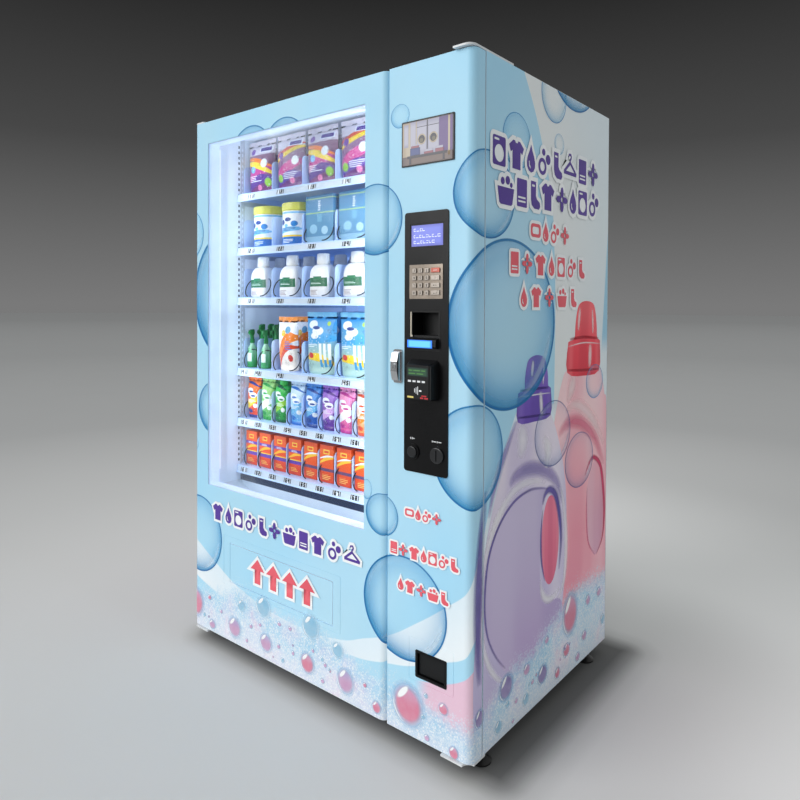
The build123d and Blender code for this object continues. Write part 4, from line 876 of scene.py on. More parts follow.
jug("jug_pink", pink_body, J_PINK, 0.20)
jug("jug_pink_panel", pink_panel, J_PANEL_PINK, 0.23, 4)
jug("jug_pink_cap", pink_cap, J_CAP_RED, 0.30, 3)
jug("jug_lilac", jug_body, J_LILAC, 0.34)
jug("jug_lilac_panel", jug_panel, J_PANEL, 0.38, 4)
jug("jug_lilac_hole", jug_hole, J_HOLE, 0.42, 0)
jug("jug_lilac_cap", jug_cap, J_CAP, 0.46, 3)
stroke("pink_glint", [(1764, 975), (1748, 941), (1716, 890)], 70, "blush", 0.245)
stroke("pink_ridge_low", [(1655, 800), (1725, 829), (1826, 812), (1927, 748), (1998, 650)], 62, "rose", 0.25)
stroke("pink_ridge_high", [(1700, 868), (1770, 880), (1850, 852), (1935, 793), (1998, 721)], 56, "blush", 0.255)
stroke("pink_edge", [(1847, 640), (1880, 676), (1919, 688), (1972, 650), (1998, 563), (2006, 474), (1990, 400), (1940, 357)], 26, "crimson", 0.26, 0.7)
stroke("pink_edge_low", [(1866, 600), (1862, 511), (1878, 416), (1934, 357)], 14, "rose", 0.265)
stroke("lilac_fold", [(1366, 706), (1400, 728), (1478, 733), (1575, 708), (1647, 660), (1685, 590)], 58, "lilac", 0.425)
stroke("lilac_rim", [(1575, 677), (1472, 696), (1389, 688), (1327, 652), (1279, 603), (1246, 540), (1228, 460)], 40, "white", 0.43)
stroke("lilac_line", [(1600, 650), (1545, 664), (1479, 672), (1401, 662), (1341, 634), (1295, 594), (1262, 541), (1247, 472), (1246, 401), (1262, 335), (1301, 272), (1350, 222)], 13, "line", 0.435, 0.4)
stroke("lilac_corner", [(1246, 720), (1226, 600), (1216, 470), (1214, 340), (1222, 230)], 46, "line", 0.4355, 0.5)
stroke("lilac_low", [(1234, 420), (1236, 340), (1262, 270), (1305, 216), (1352, 186)], 26, "white", 0.437)
stroke("lilac_crescent", [(1556, 612), (1572, 640), (1602, 648), (1640, 622), (1666, 556), (1677, 478), (1664, 392)], 34, "violet", 0.44, 0.6)
stroke("lilac_light", [(1668, 650), (1700, 560), (1712, 452), (1700, 352), (1660, 300)], 34, "white", 0.443)
stroke("lilac_under", [(1546, 400), (1556, 358), (1582, 330), (1625, 320), (1672, 336)], 34, "white", 0.446)
stroke("lilac_inner", [(1557, 600), (1547, 527), (1551, 452), (1572, 385)], 14, "line", 0.449)
stroke("lilac_glint", [(1420, 862), (1436, 820), (1424, 770)], 84, "white", 0.452)
stroke("lilac_glint2", [(1560, 810), (1590, 765), (1575, 715)], 60, "white", 0.455)
stroke("lilac_side", [(1399, 879), (1356, 818), (1318, 765), (1284, 705), (1262, 645)], 36, "lilac", 0.458)
stroke("cap_glint", [(1538, 944), (1543, 910), (1547, 872)], 26, "white", 0.52, 0.2)
stroke("cap_dome_glint", [(1494, 1036), (1490, 1015), (1486, 990)], 22, "white", 0.525, 0.3)
stroke("cap_dome_glint2", [(1559, 1026), (1557, 995), (1553, 962)], 14, "white", 0.53, 0.3)
stroke("cap_neck", [(1420, 957), (1500, 955), (1590, 951)], 9, "cap_dark", 0.535, 0.1)
stroke("cap_foot", [(1408, 884), (1500, 878), (1602, 872)], 8, "cap_dark", 0.54, 0.1)
stroke("cap_rim", [(1410, 940), (1500, 938), (1602, 934)], 6, "white", 0.545, 0.2)
stroke("red_glint", [(1881, 1066), (1880, 1030), (1878, 990)], 34, "blush", 0.35, 0.2)
stroke("red_dome_glint", [(1801, 1184), (1795, 1150), (1790, 1112)], 24, "blush", 0.355, 0.3)
stroke("red_dome_glint2", [(1896, 1180), (1900, 1140), (1902, 1098)], 18, "blush", 0.36, 0.3)
stroke("red_neck", [(1728, 1086), (1830, 1090), (1950, 1082)], 11, "cap_red_dark", 0.365, 0.1)
stroke("red_foot", [(1712, 992), (1830, 984), (1954, 980)], 10, "cap_red_dark", 0.37, 0.1)
stroke("red_rim", [(1716, 1064), (1830, 1072), (1958, 1064)], 7, "blush", 0.375, 0.2)


# ------------------------------------------------------------------ pictograms in place of lettering
def curve_mesh(outlines, offset=0.0):
    """Filled 2-D shape from closed outlines (holes by even-odd), grown by offset, as a bmesh in (u, 0, z)."""
    cu = bpy.data.curves.new("tmp_curve", "CURVE")
    cu.dimensions = "2D"
    cu.fill_mode = "BOTH"
    cu.offset = offset
    for pts in outlines:
        sp = cu.splines.new("POLY")
        sp.points.add(len(pts) - 1)
        for q, (x, z) in zip(sp.points, pts):
            q.co = (x, z, 0, 1)
        sp.use_cyclic_u = True
    ob = bpy.data.objects.new("tmp_curve", cu)
    bpy.context.scene.collection.objects.link(ob)
    dg = bpy.context.evaluated_depsgraph_get()
    me = bpy.data.meshes.new_from_object(ob.evaluated_get(dg))
    bpy.data.objects.remove(ob)
    bpy.data.curves.remove(cu)
    bm = bmesh.new()
    bm.from_mesh(me)
    bpy.data.meshes.remove(me)
    uv = bm.loops.layers.uv.verify()
    for v in bm.verts:
        v.co = (v.co.x, 0.0, v.co.y)
    return bm


def circ(cx, cz, r, n=28, rev=False):
    pts = [(cx + r * math.cos(2 * math.pi * i / n), cz + r * math.sin(2 * math.pi * i / n)) for i in range(n)]
    return pts[::-1] if rev else pts


def rrect(x0, x1, z0, z1, r, n=5):
    out = []
    for cx, cz, a0 in ((x1 - r, z1 - r, 0), (x0 + r, z1 - r, 90), (x0 + r, z0 + r, 180), (x1 - r, z0 + r, 270)):
        out += [(cx + r * math.cos(math.radians(a0 + 90 * i / n)), cz + r * math.sin(math.radians(a0 + 90 * i / n))) for i in range(n + 1)]
    return out


ICONS = {
    # unit height, centred: solid outlines, then holes
    "shirt": ([[(-0.52, 0.30), (-0.24, 0.5), (-0.12, 0.5), (-0.06, 0.42), (0.06, 0.42), (0.12, 0.5), (0.24, 0.5), (0.52, 0.30),
                (0.40, 0.06), (0.28, 0.14), (0.28, -0.5), (-0.28, -0.5), (-0.28, 0.14), (-0.40, 0.06)]], [], 1.04),
    "drop": ([[(0.0, 0.52), (0.10, 0.30), (0.24, 0.08), (0.31, -0.12), (0.29, -0.30), (0.18, -0.44), (0.0, -0.5), (-0.18, -0.44),
               (-0.29, -0.30), (-0.31, -0.12), (-0.24, 0.08), (-0.10, 0.30)]],
             [[(-0.17, -0.10), (-0.10, -0.08), (-0.10, -0.20), (-0.02, -0.31), (-0.05, -0.37), (-0.15, -0.28)]], 0.62),
    "sock": ([[(-0.26, 0.5), (0.12, 0.5), (0.12, -0.02), (0.20, -0.14), (0.42, -0.24), (0.46, -0.38), (0.36, -0.5), (0.0, -0.5),
               (-0.20, -0.38), (-0.26, -0.16)]], [rrect(-0.18, 0.04, 0.30, 0.38, 0.02)], 0.72),
    "basin": ([[(-0.56, 0.10), (0.56, 0.10), (0.44, -0.44), (0.36, -0.5), (-0.36, -0.5), (-0.44, -0.44)], circ(-0.22, 0.30, 0.13),
               circ(0.12, 0.36, 0.15), circ(0.36, 0.22, 0.09)], [], 1.12),
    "washer": ([rrect(-0.42, 0.42, -0.5, 0.5, 0.08)], [circ(0.0, -0.08, 0.30, 28, True), rrect(-0.32, 0.0, 0.34, 0.42, 0.03)], 0.84),
    "bubbles": ([circ(-0.14, -0.18, 0.32), circ(0.32, 0.14, 0.19), circ(-0.04, 0.37, 0.13)], [circ(-0.14, -0.18, 0.18, 28, True)], 0.96),
    "hanger": ([[(-0.04, 0.30), (-0.04, 0.40), (0.03, 0.44), (0.05, 0.50), (-0.05, 0.53), (-0.12, 0.46), (-0.18, 0.46), (-0.12, 0.60),
                 (0.06, 0.62), (0.14, 0.50), (0.10, 0.38), (0.05, 0.33), (0.05, 0.27), (0.58, -0.12), (0.56, -0.26), (-0.56, -0.26), (-0.58, -0.12)]],
               [[(0.0, 0.16), (-0.38, -0.12), (0.38, -0.12)]], 1.16),
    "star": ([[((0.33 + 0.16 * math.cos(4 * a)) * math.cos(a), (0.33 + 0.16 * math.cos(4 * a)) * math.sin(a)) for a in [i * math.pi / 30 for i in range(60)]]],
             [circ(0.0, 0.0, 0.10, 20, True)], 0.96),
    "bar": ([rrect(-0.52, 0.52, -0.34, 0.34, 0.20)], [rrect(-0.34, 0.34, -0.18, 0.18, 0.12)[::-1]], 1.04),
    "arrow": ([[(0.0, 0.5), (0.44, 0.06), (0.18, 0.06), (0.18, -0.5), (-0.18, -0.5), (-0.18, 0.06), (-0.44, 0.06)]], [], 0.88),
    "towel": ([rrect(-0.36, 0.36, -0.5, 0.5, 0.05)], [rrect(-0.36 + 0.09, 0.36 - 0.09, -0.34, -0.27, 0.02)[::-1], rrect(-0.27, 0.27, -0.20, -0.13, 0.02)[::-1]], 0.72),
}


def ink_material(name, col, col2):
    t = Tree(name)
    co = t.coord()
    c = t.mix(t.step(t.noise(co, 5.0, 3.0), 0.35, 0.7), col, col2)
    speck = t.step(t.noise(co, 420.0, 2.0), 0.66, 0.74)
    c = t.mix(t.mul(speck, 0.10), c, rgb(250, 250, 252))
    return film_shader(t, c, t.add(t.mul(speck, 0.0), 1.0), co)


M_INK_VIOLET = ink_material("ink_violet", rgb(92, 64, 158), rgb(82, 56, 146))
M_INK_CORAL = ink_material("ink_coral", rgb(238, 104, 116), rgb(230, 94, 108))
M_INK_WHITE = ink_material("ink_white", rgb(250, 252, 253), rgb(243, 247, 250))


def icon_row(name, kinds, u0, u1, zc, height, ink, halo, panels, rise=0.0, off=1.9):
    """Row of pictograms across u0..u1 with a white margin, like a printed headline."""
    widths = [ICONS[k][2] * height for k in kinds]
    gap = (u1 - u0 - sum(widths)) / (len(kinds) - 1) if len(kinds) > 1 else 0.0
    solid_all, ink_all = bmesh.new(), bmesh.new()
    solid_all.loops.layers.uv.new("UVMap")
    ink_all.loops.layers.uv.new("UVMap")
    x, level = u0, 0
    for i, (k, wd) in enumerate(zip(kinds, widths)):
        cx = x + wd / 2
        cz = zc + rise * ((cx - u0) / (u1 - u0) - 0.5)
        outs, holes, _ = ICONS[k]
        place = lambda pts: [(cx + px * height, cz + pz * height) for px, pz in pts]
        for target, shapes, grow in ((ink_all, outs + holes, 0.0), (solid_all, outs, halo)):
            groups = [shapes] if target is ink_all else [[o] for o in shapes]
            for g in groups:
                bm = curve_mesh([place(o) for o in g], grow)
                level += 1
                for v in bm.verts:
                    v.co.y = 0.015 * level
                tmp = bpy.data.meshes.new("tmp")
                bm.to_mesh(tmp)
                target.from_mesh(tmp)
                bpy.data.meshes.remove(tmp)
                bm.free()
        x += wd + gap
    lay(f"sign_{name}_margin", solid_all, M_INK_WHITE, off, panels)
    lay(f"sign_{name}_ink", ink_all, ink, off + 0.6, panels)
    solid_all.free()
    ink_all.free()


front_row = ["shirt", "drop", "washer", "bubbles", "sock", "star", "basin", "towel", "shirt", "bubbles", "hanger"]
icon_row("front", front_row, 114, 812, 471, 54, M_INK_VIOLET, 8, ["window"])
icon_row("push", ["arrow", "arrow", "arrow", "arrow"], 322, 628, 318, 80, M_INK_CORAL, 9, ["flap"])
icon_row("door1", ["bar", "drop", "bubbles", "star"], 974, 1092, 640, 29, M_INK_CORAL, 5, ["control"])
icon_row("door2", ["towel", "star", "shirt", "drop", "washer", "bubbles", "sock"], 924, 1144, 535, 32, M_INK_CORAL, 5, ["control"])
icon_row("door3", ["drop", "shirt", "star", "basin", "sock"], 950, 1114, 442, 32, M_INK_CORAL, 5, ["control"])
for side, f in (("side", lambda a, b: (a, b)), ("left", lambda a, b: (1185 - b, 1185 - a))):
    pan = [side]
    icon_row(side + "1", ["washer", "shirt", "drop", "bubbles", "sock", "hanger", "towel", "star"], *f(1268, 1925), 1604, 76, M_INK_VIOLET, 12, pan, 30)
    icon_row(side + "2", ["basin", "towel", "sock", "shirt", "star", "drop", "washer", "bubbles"], *f(1292, 1930), 1506, 76, M_INK_VIOLET, 12, pan, 30)
    icon_row(side + "3", ["bar", "drop", "bubbles", "star"], *f(1471, 1712), 1402, 56, M_INK_CORAL, 9, pan)
    icon_row(side + "4", ["towel", "star", "shirt", "drop", "washer", "bubbles", "sock"], *f(1362, 1823), 1306, 58, M_INK_CORAL, 9, pan)
    icon_row(side + "5", ["drop", "shirt", "star", "basin", "sock"], *f(1417, 1765), 1214, 56, M_INK_CORAL, 9, pan)


# ------------------------------------------------------------------ goods on the trays: plain generic packs
def loft(sections, seg=40, close_bottom=True, close_top=True):
    """Body from cross-sections (z, half width, half depth, squareness, x shift, y shift) in mm, with u, v print coordinates."""
    bm = bmesh.new()
    uv = bm.loops.layers.uv.new("UVMap")
    rows = []
    for s in sections:
        z, hw, hd, n = s[:4]
        ox, oy = (s[4], s[5]) if len(s) > 5 else (0.0, 0.0)
        row = []
        for i in range(seg):
            a = 2 * math.pi * (i + 0.5) / seg
            c, d = math.cos(a), math.sin(a)
            row.append(bm.verts.new((ox + hw * math.copysign(abs(c) ** (2 / n), c), oy + hd * math.copysign(abs(d) ** (2 / n), d), z)))
        rows.append(row)
    for a, b in zip(rows, rows[1:]):
        for i in range(seg):
            j = (i + 1) % seg
            bm.faces.new((a[i], a[j], b[j], b[i]))
    if close_bottom:
        bm.faces.new(rows[0][::-1])
    if close_top:
        bm.faces.new(rows[-1])
    return bm, uv


def set_uv(bm, uv, hw, h):
    """Front print: u across the front, v up; the sides carry on round the corner."""
    for f in bm.faces:
        nx, ny = abs(f.normal.x), abs(f.normal.y)
        for loop in f.loops:
            c = loop.vert.co
            if nx > ny and nx > 0.5:
                u = 1.0 + (c.y + 40) / 160 if f.normal.x > 0 else -(c.y + 40) / 160
            else:
                u = (c.x / hw + 1) / 2
            loop[uv].uv = (u, c.z / h)


def finish_mesh(bm, uv, hw, h):
    bm.normal_update()
    set_uv(bm, uv, hw, h)
    return bm


def pack_box(w, h, d, r=1.6):
    hw, hd = w / 2, d / 2
    sec = [(0, hw - r, hd - r, 30), (r * 0.4, hw - 0.3, hd - 0.3, 26), (r, hw, hd, 24), (h * 0.5, hw + 0.5, hd + 0.5, 22), (h - r, hw, hd, 24),
           (h - r * 0.4, hw - 0.3, hd - 0.3, 26), (h, hw - r, hd - r, 30)]
    bm, uv = loft(sec, 44)
    return finish_mesh(bm, uv, hw, h)


def pack_pouch(w, h, d):
    """Stand-up film pouch: flat welded top, full belly, gusseted foot with pulled-in corners."""
    bm = bmesh.new()
    uv = bm.loops.layers.uv.new("UVMap")
    nx, nz = 26, 34
    hw = w / 2

    def surf(i, k, s):
        a, b = i / nx * 2 - 1, k / nz
        width = hw * (1.0 - 0.045 * math.sin(b * math.pi) ** 2 - 0.03 * max(0, 0.12 - b) / 0.12)
        belly = math.sin(min(b / 0.9, 1.0) * math.pi) ** 0.55 if b < 0.9 else 0.0
        foot = max(0.0, 1 - b / 0.10)
        across = max(0.0, 1 - abs(a) ** 3.2) ** 0.6
        y = s * (d / 2 * belly * across + d * 0.34 * foot * max(0.0, 1 - abs(a) ** 4) + 0.5)
        crease = 1.1 * math.sin(a * 17 + b * 9) * math.sin(b * 23 + a * 5) * belly * across + 1.6 * math.sin(a * 6 + 1.3) * (b > 0.72) * max(0.0, 0.9 - b) * 4
        top_wave = 1.3 * math.sin(a * 9) * (b > 0.9)
        corner = 5.0 * max(0.0, 0.10 - b) / 0.10 * abs(a) ** 6
        return (a * width, y + s * crease * 0.8 + top_wave, b * h + corner)

    for s in (-1, 1):
        grid = [[bm.verts.new(surf(i, k, s)) for k in range(nz + 1)] for i in range(nx + 1)]
        for i in range(nx):
            for k in range(nz):
                q = (grid[i][k], grid[i + 1][k], grid[i + 1][k + 1], grid[i][k + 1])
                bm.faces.new(q if s < 0 else q[::-1])
    bmesh.ops.remove_doubles(bm, verts=bm.verts, dist=1.2)
    bmesh.ops.holes_fill(bm, edges=[e for e in bm.edges if e.is_boundary], sides=200)
    bm.normal_update()
    for f in bm.faces:
        for loop in f.loops:
            c = loop.vert.co
            loop[uv].uv = ((c.x / hw + 1) / 2, c.z / h)
    return bm


def pack_tub(w, h, d=None):
    r = w / 2
    lid = h * 0.82
    sec = [(0, r - 4, r - 4, 2), (1.5, r - 2.6, r - 2.6, 2), (4, r - 2, r - 2, 2), (lid * 0.5, r - 1.6, r - 1.6, 2), (lid - 3, r - 2, r - 2, 2),
           (lid - 2.5, r - 3.5, r - 3.5, 2), (lid - 0.6, r - 3.5, r - 3.5, 2), (lid, r, r, 2), (lid + 2, r + 0.4, r + 0.4, 2),
           (h - 5, r + 0.4, r + 0.4, 2), (h - 1.5, r - 0.6, r - 0.6, 2), (h, r - 3, r - 3, 2), (h - 1.6, r - 6, r - 6, 2), (h - 2, r * 0.4, r * 0.4, 2)]
    bm, uv = loft(sec, 52)
    return finish_mesh(bm, uv, r, h)


def pack_bottle(w, h, d, cap_w=0.42, neck=0.80, shoulder=0.66, square=3.2, tilt=0.0, ribs=18):
    """Moulded bottle: rounded foot, waisted body, shoulder, neck and ribbed cap."""
    hw, hd = w / 2, d / 2
    body = h * shoulder
    nk, cw, cd = h * neck, w * cap_w / 2, min(d, w) * cap_w / 2
    sec = [(0, hw * 0.84, hd * 0.84, square), (1.5, hw * 0.93, hd * 0.93, square), (5, hw * 0.985, hd * 0.985, square), (body * 0.12, hw, hd, square),
           (body * 0.5, hw * 0.985, hd * 0.985, square), (body * 0.92, hw, hd, square)]
    for k in range(1, 7):
        a = k / 6 * math.pi / 2
        sec.append((body + (nk - body) * math.sin(a), (cw * 0.86) + (hw - cw * 0.86) * math.cos(a) ** 0.9, (cd * 0.86) + (hd - cd * 0.86) * math.cos(a) ** 0.9,
                    square + (2 - square) * k / 6, tilt * k / 6, 0.0))
    t = tilt
    sec += [(nk + 1.5, cw * 0.84, cd * 0.84, 2, t, 0), (nk + 1.6, cw, cd, 2, t, 0), (nk + 3, cw * 1.03, cd * 1.03, 2, t, 0), (h - 3, cw * 0.97, cd * 0.97, 2, t, 0),
            (h - 1, cw * 0.9, cd * 0.9, 2, t, 0), (h, cw * 0.78, cd * 0.78, 2, t, 0)]
    bm, uv = loft(sec, 48)
    if ribs:
        for v in bm.verts:
            if nk + 2.5 < v.co.z < h - 2:
                a = math.atan2(v.co.y, v.co.x - t)
                k = 1 + 0.022 * math.cos(a * ribs)
                v.co.x, v.co.y = t + (v.co.x - t) * k, v.co.y * k
    return finish_mesh(bm, uv, hw, h)


def pack_spray(w, h, d):
    """Narrow bottle under a long tapered nozzle head with a trigger lip."""
    hw, hd = w / 2, d / 2
    sec = [(0, hw * 0.86, hd * 0.86, 2.6), (3, hw, hd, 2.6), (h * 0.34, hw * 0.97, hd * 0.97, 2.6), (h * 0.5, hw * 0.86, hd * 0.86, 2.5),
           (h * 0.60, hw * 0.50, hd * 0.50, 2.2), (h * 0.64, hw * 0.36, hd * 0.36, 2), (h * 0.645, hw * 0.50, hd * 0.50, 2), (h * 0.74, hw * 0.48, hd * 0.48, 2),
           (h * 0.75, hw * 0.34, hd * 0.40, 2.2), (h * 0.84, hw * 0.30, hd * 0.46, 2.4, 0, -hd * 0.1), (h * 0.90, hw * 0.34, hd * 0.80, 3.0, 0, -hd * 0.25),
           (h * 0.97, hw * 0.30, hd * 0.76, 3.0, 0, -hd * 0.2), (h, hw * 0.22, hd * 0.50, 3, 0, 0)]
    bm, uv = loft(sec, 36)
    return finish_mesh(bm, uv, hw, h)


def print_material(name, base, low=None, bands=(), blobs=(), sweeps=(), lines=(), rough=0.32, gloss=0.5, cap=None, cap_from=0.8, film=0.0, seed=0.0, rects=()):
    """Pack print from u (0..1 across the front) and v (0..1 up): tone, bands, sweeps, blobs and thin rules, plus scuffs.

    bands (v0, v1, colour); blobs (u, v, ru, rv, colour, softness); sweeps (v at left, rise, bend, width, colour);
    lines (u0, u1, v0, v1, pitch, colour): a group of thin rules."""
    t = Tree("pack_" + name)
    co = t.coord()
    u, v, _ = t.xyz(t.uv())
    col = t.mix(t.step(v, 0.05, 0.85), low or base, base)
    for v0, v1, c in bands:
        m = t.mul(t.step(v, v0 - 0.006, v0 + 0.006), t.sub(1.0, t.step(v, v1 - 0.006, v1 + 0.006)))
        col = t.mix(m, col, c)
    for start, rise, bend, width, c in sweeps:
        mid = t.add(t.add(t.mul(u, rise), start), t.mul(t.math("SINE", t.mul(u, 3.1416)), bend))
        off = t.math("ABSOLUTE", t.sub(v, mid))
        w2 = t.mul(t.add(0.35, t.mul(t.math("SINE", t.mul(t.math("MAXIMUM", t.math("MINIMUM", u, 1.0), 0.0), 3.1416)), 0.65)), width / 2)
        col = t.mix(t.sub(1.0, t.step(t.sub(off, w2), -0.006, 0.006)), col, c)
    for bu, bv, ru, rv, c, soft in blobs:
        du, dv = t.mul(t.sub(u, bu), 1 / ru), t.mul(t.sub(v, bv), 1 / rv)
        r = t.math("SQRT", t.add(t.mul(du, du), t.mul(dv, dv)))
        col = t.mix(t.sub(1.0, t.step(r, 1.0 - soft, 1.0 + 0.04)), col, c)
    if film:
        dots = t.voronoi(t.vec(t.add(u, seed), 0.0, t.mul(v, 1.5)), 11.0)
        pick = t.noise(t.vec(t.add(u, seed * 2.0), 0.3, v), 3.2, 2.0)
        zone = t.mul(t.step(v, 0.06, 0.12), t.sub(1.0, t.step(v, 0.70, 0.8)))
        speck = t.mul(t.mul(t.sub(1.0, t.step(dots, 0.14, 0.24)), zone), t.step(pick, 0.42, 0.5))
        col = t.mix(t.mul(speck, 0.7), col, C_WHITE)
        rims = t.mul(t.mul(t.mul(t.step(dots, 0.30, 0.34), t.sub(1.0, t.step(dots, 0.40, 0.44))), zone), t.sub(1.0, t.step(pick, 0.44, 0.52)))
        col = t.mix(t.mul(rims, 0.45), col, C_INK)
    for u0, u1, v0, v1, c in rects:
        inside = t.mul(t.mul(t.math("GREATER_THAN", u, u0), t.math("LESS_THAN", u, u1)), t.mul(t.math("GREATER_THAN", v, v0), t.math("LESS_THAN", v, v1)))
        col = t.mix(inside, col, c)
    for u0, u1, v0, v1, pitch, c in lines:
        inside = t.mul(t.mul(t.math("GREATER_THAN", u, u0), t.math("LESS_THAN", u, u1)), t.mul(t.math("GREATER_THAN", v, v0), t.math("LESS_THAN", v, v1)))
        f = t.math("FRACT", t.mul(t.sub(v, v0), 1 / pitch))
        length = t.noise(t.vec(0.0, t.math("FLOOR", t.mul(t.sub(v, v0), 1 / pitch)), seed), 3.7, 0.0)
        long_enough = t.math("LESS_THAN", t.sub(u, u0), t.mul(t.range(length, 0.3, 0.7, 0.55, 1.0), u1 - u0))
        col = t.mix(t.mul(t.mul(inside, long_enough), t.math("LESS_THAN", f, 0.42)), col, c)
    if cap is not None:
        col = t.mix(t.step(v, cap_from - 0.004, cap_from + 0.004), col, cap)
    tone = t.noise(co, 9.0, 3.0)
    col = t.mix(t.mul(t.step(tone, 0.4, 0.7), 0.10), col, tuple(x * 0.72 for x in base[:3]) + (1.0,))
    fleck = t.step(t.noise(co, 300.0, 3.0), 0.68, 0.76)
    col = t.mix(t.mul(fleck, 0.06), col, (0.9, 0.92, 0.94, 1.0))
    r = t.range(t.noise(co, 60.0, 4.0), 0.3, 0.7, rough - 0.06, rough + 0.08)
    nrm = t.bump(t.noise(co, 34.0 if film else 500.0, 3.0), 0.35 if film else 0.05, 0.0012 if film else 0.0002)
    p = t.principled(Base_Color=col, Roughness=r, Normal=nrm)
    p.inputs["Specular IOR Level"].default_value = gloss
    return t.finish(p.outputs[0])


C_WHITE, C_CREAM, C_GREY = rgb(244, 246, 247), rgb(236, 232, 222), rgb(196, 196, 194)
C_ORANGE, C_DEEP_ORANGE, C_YELLOW = rgb(250, 132, 34), rgb(226, 72, 24), rgb(252, 214, 50)
C_VIOLET, C_PURPLE, C_MAGENTA = rgb(92, 44, 140), rgb(126, 72, 168), rgb(196, 54, 140)
C_BLUE, C_DEEP_BLUE, C_SKY, C_TEAL = rgb(40, 116, 200), rgb(24, 60, 140), rgb(120, 190, 232), rgb(40, 150, 160)
C_GREEN, C_LIME, C_RED, C_PINK = rgb(44, 158, 66), rgb(150, 206, 60), rgb(216, 38, 44), rgb(240, 130, 180)
C_INK = rgb(40, 44, 60)

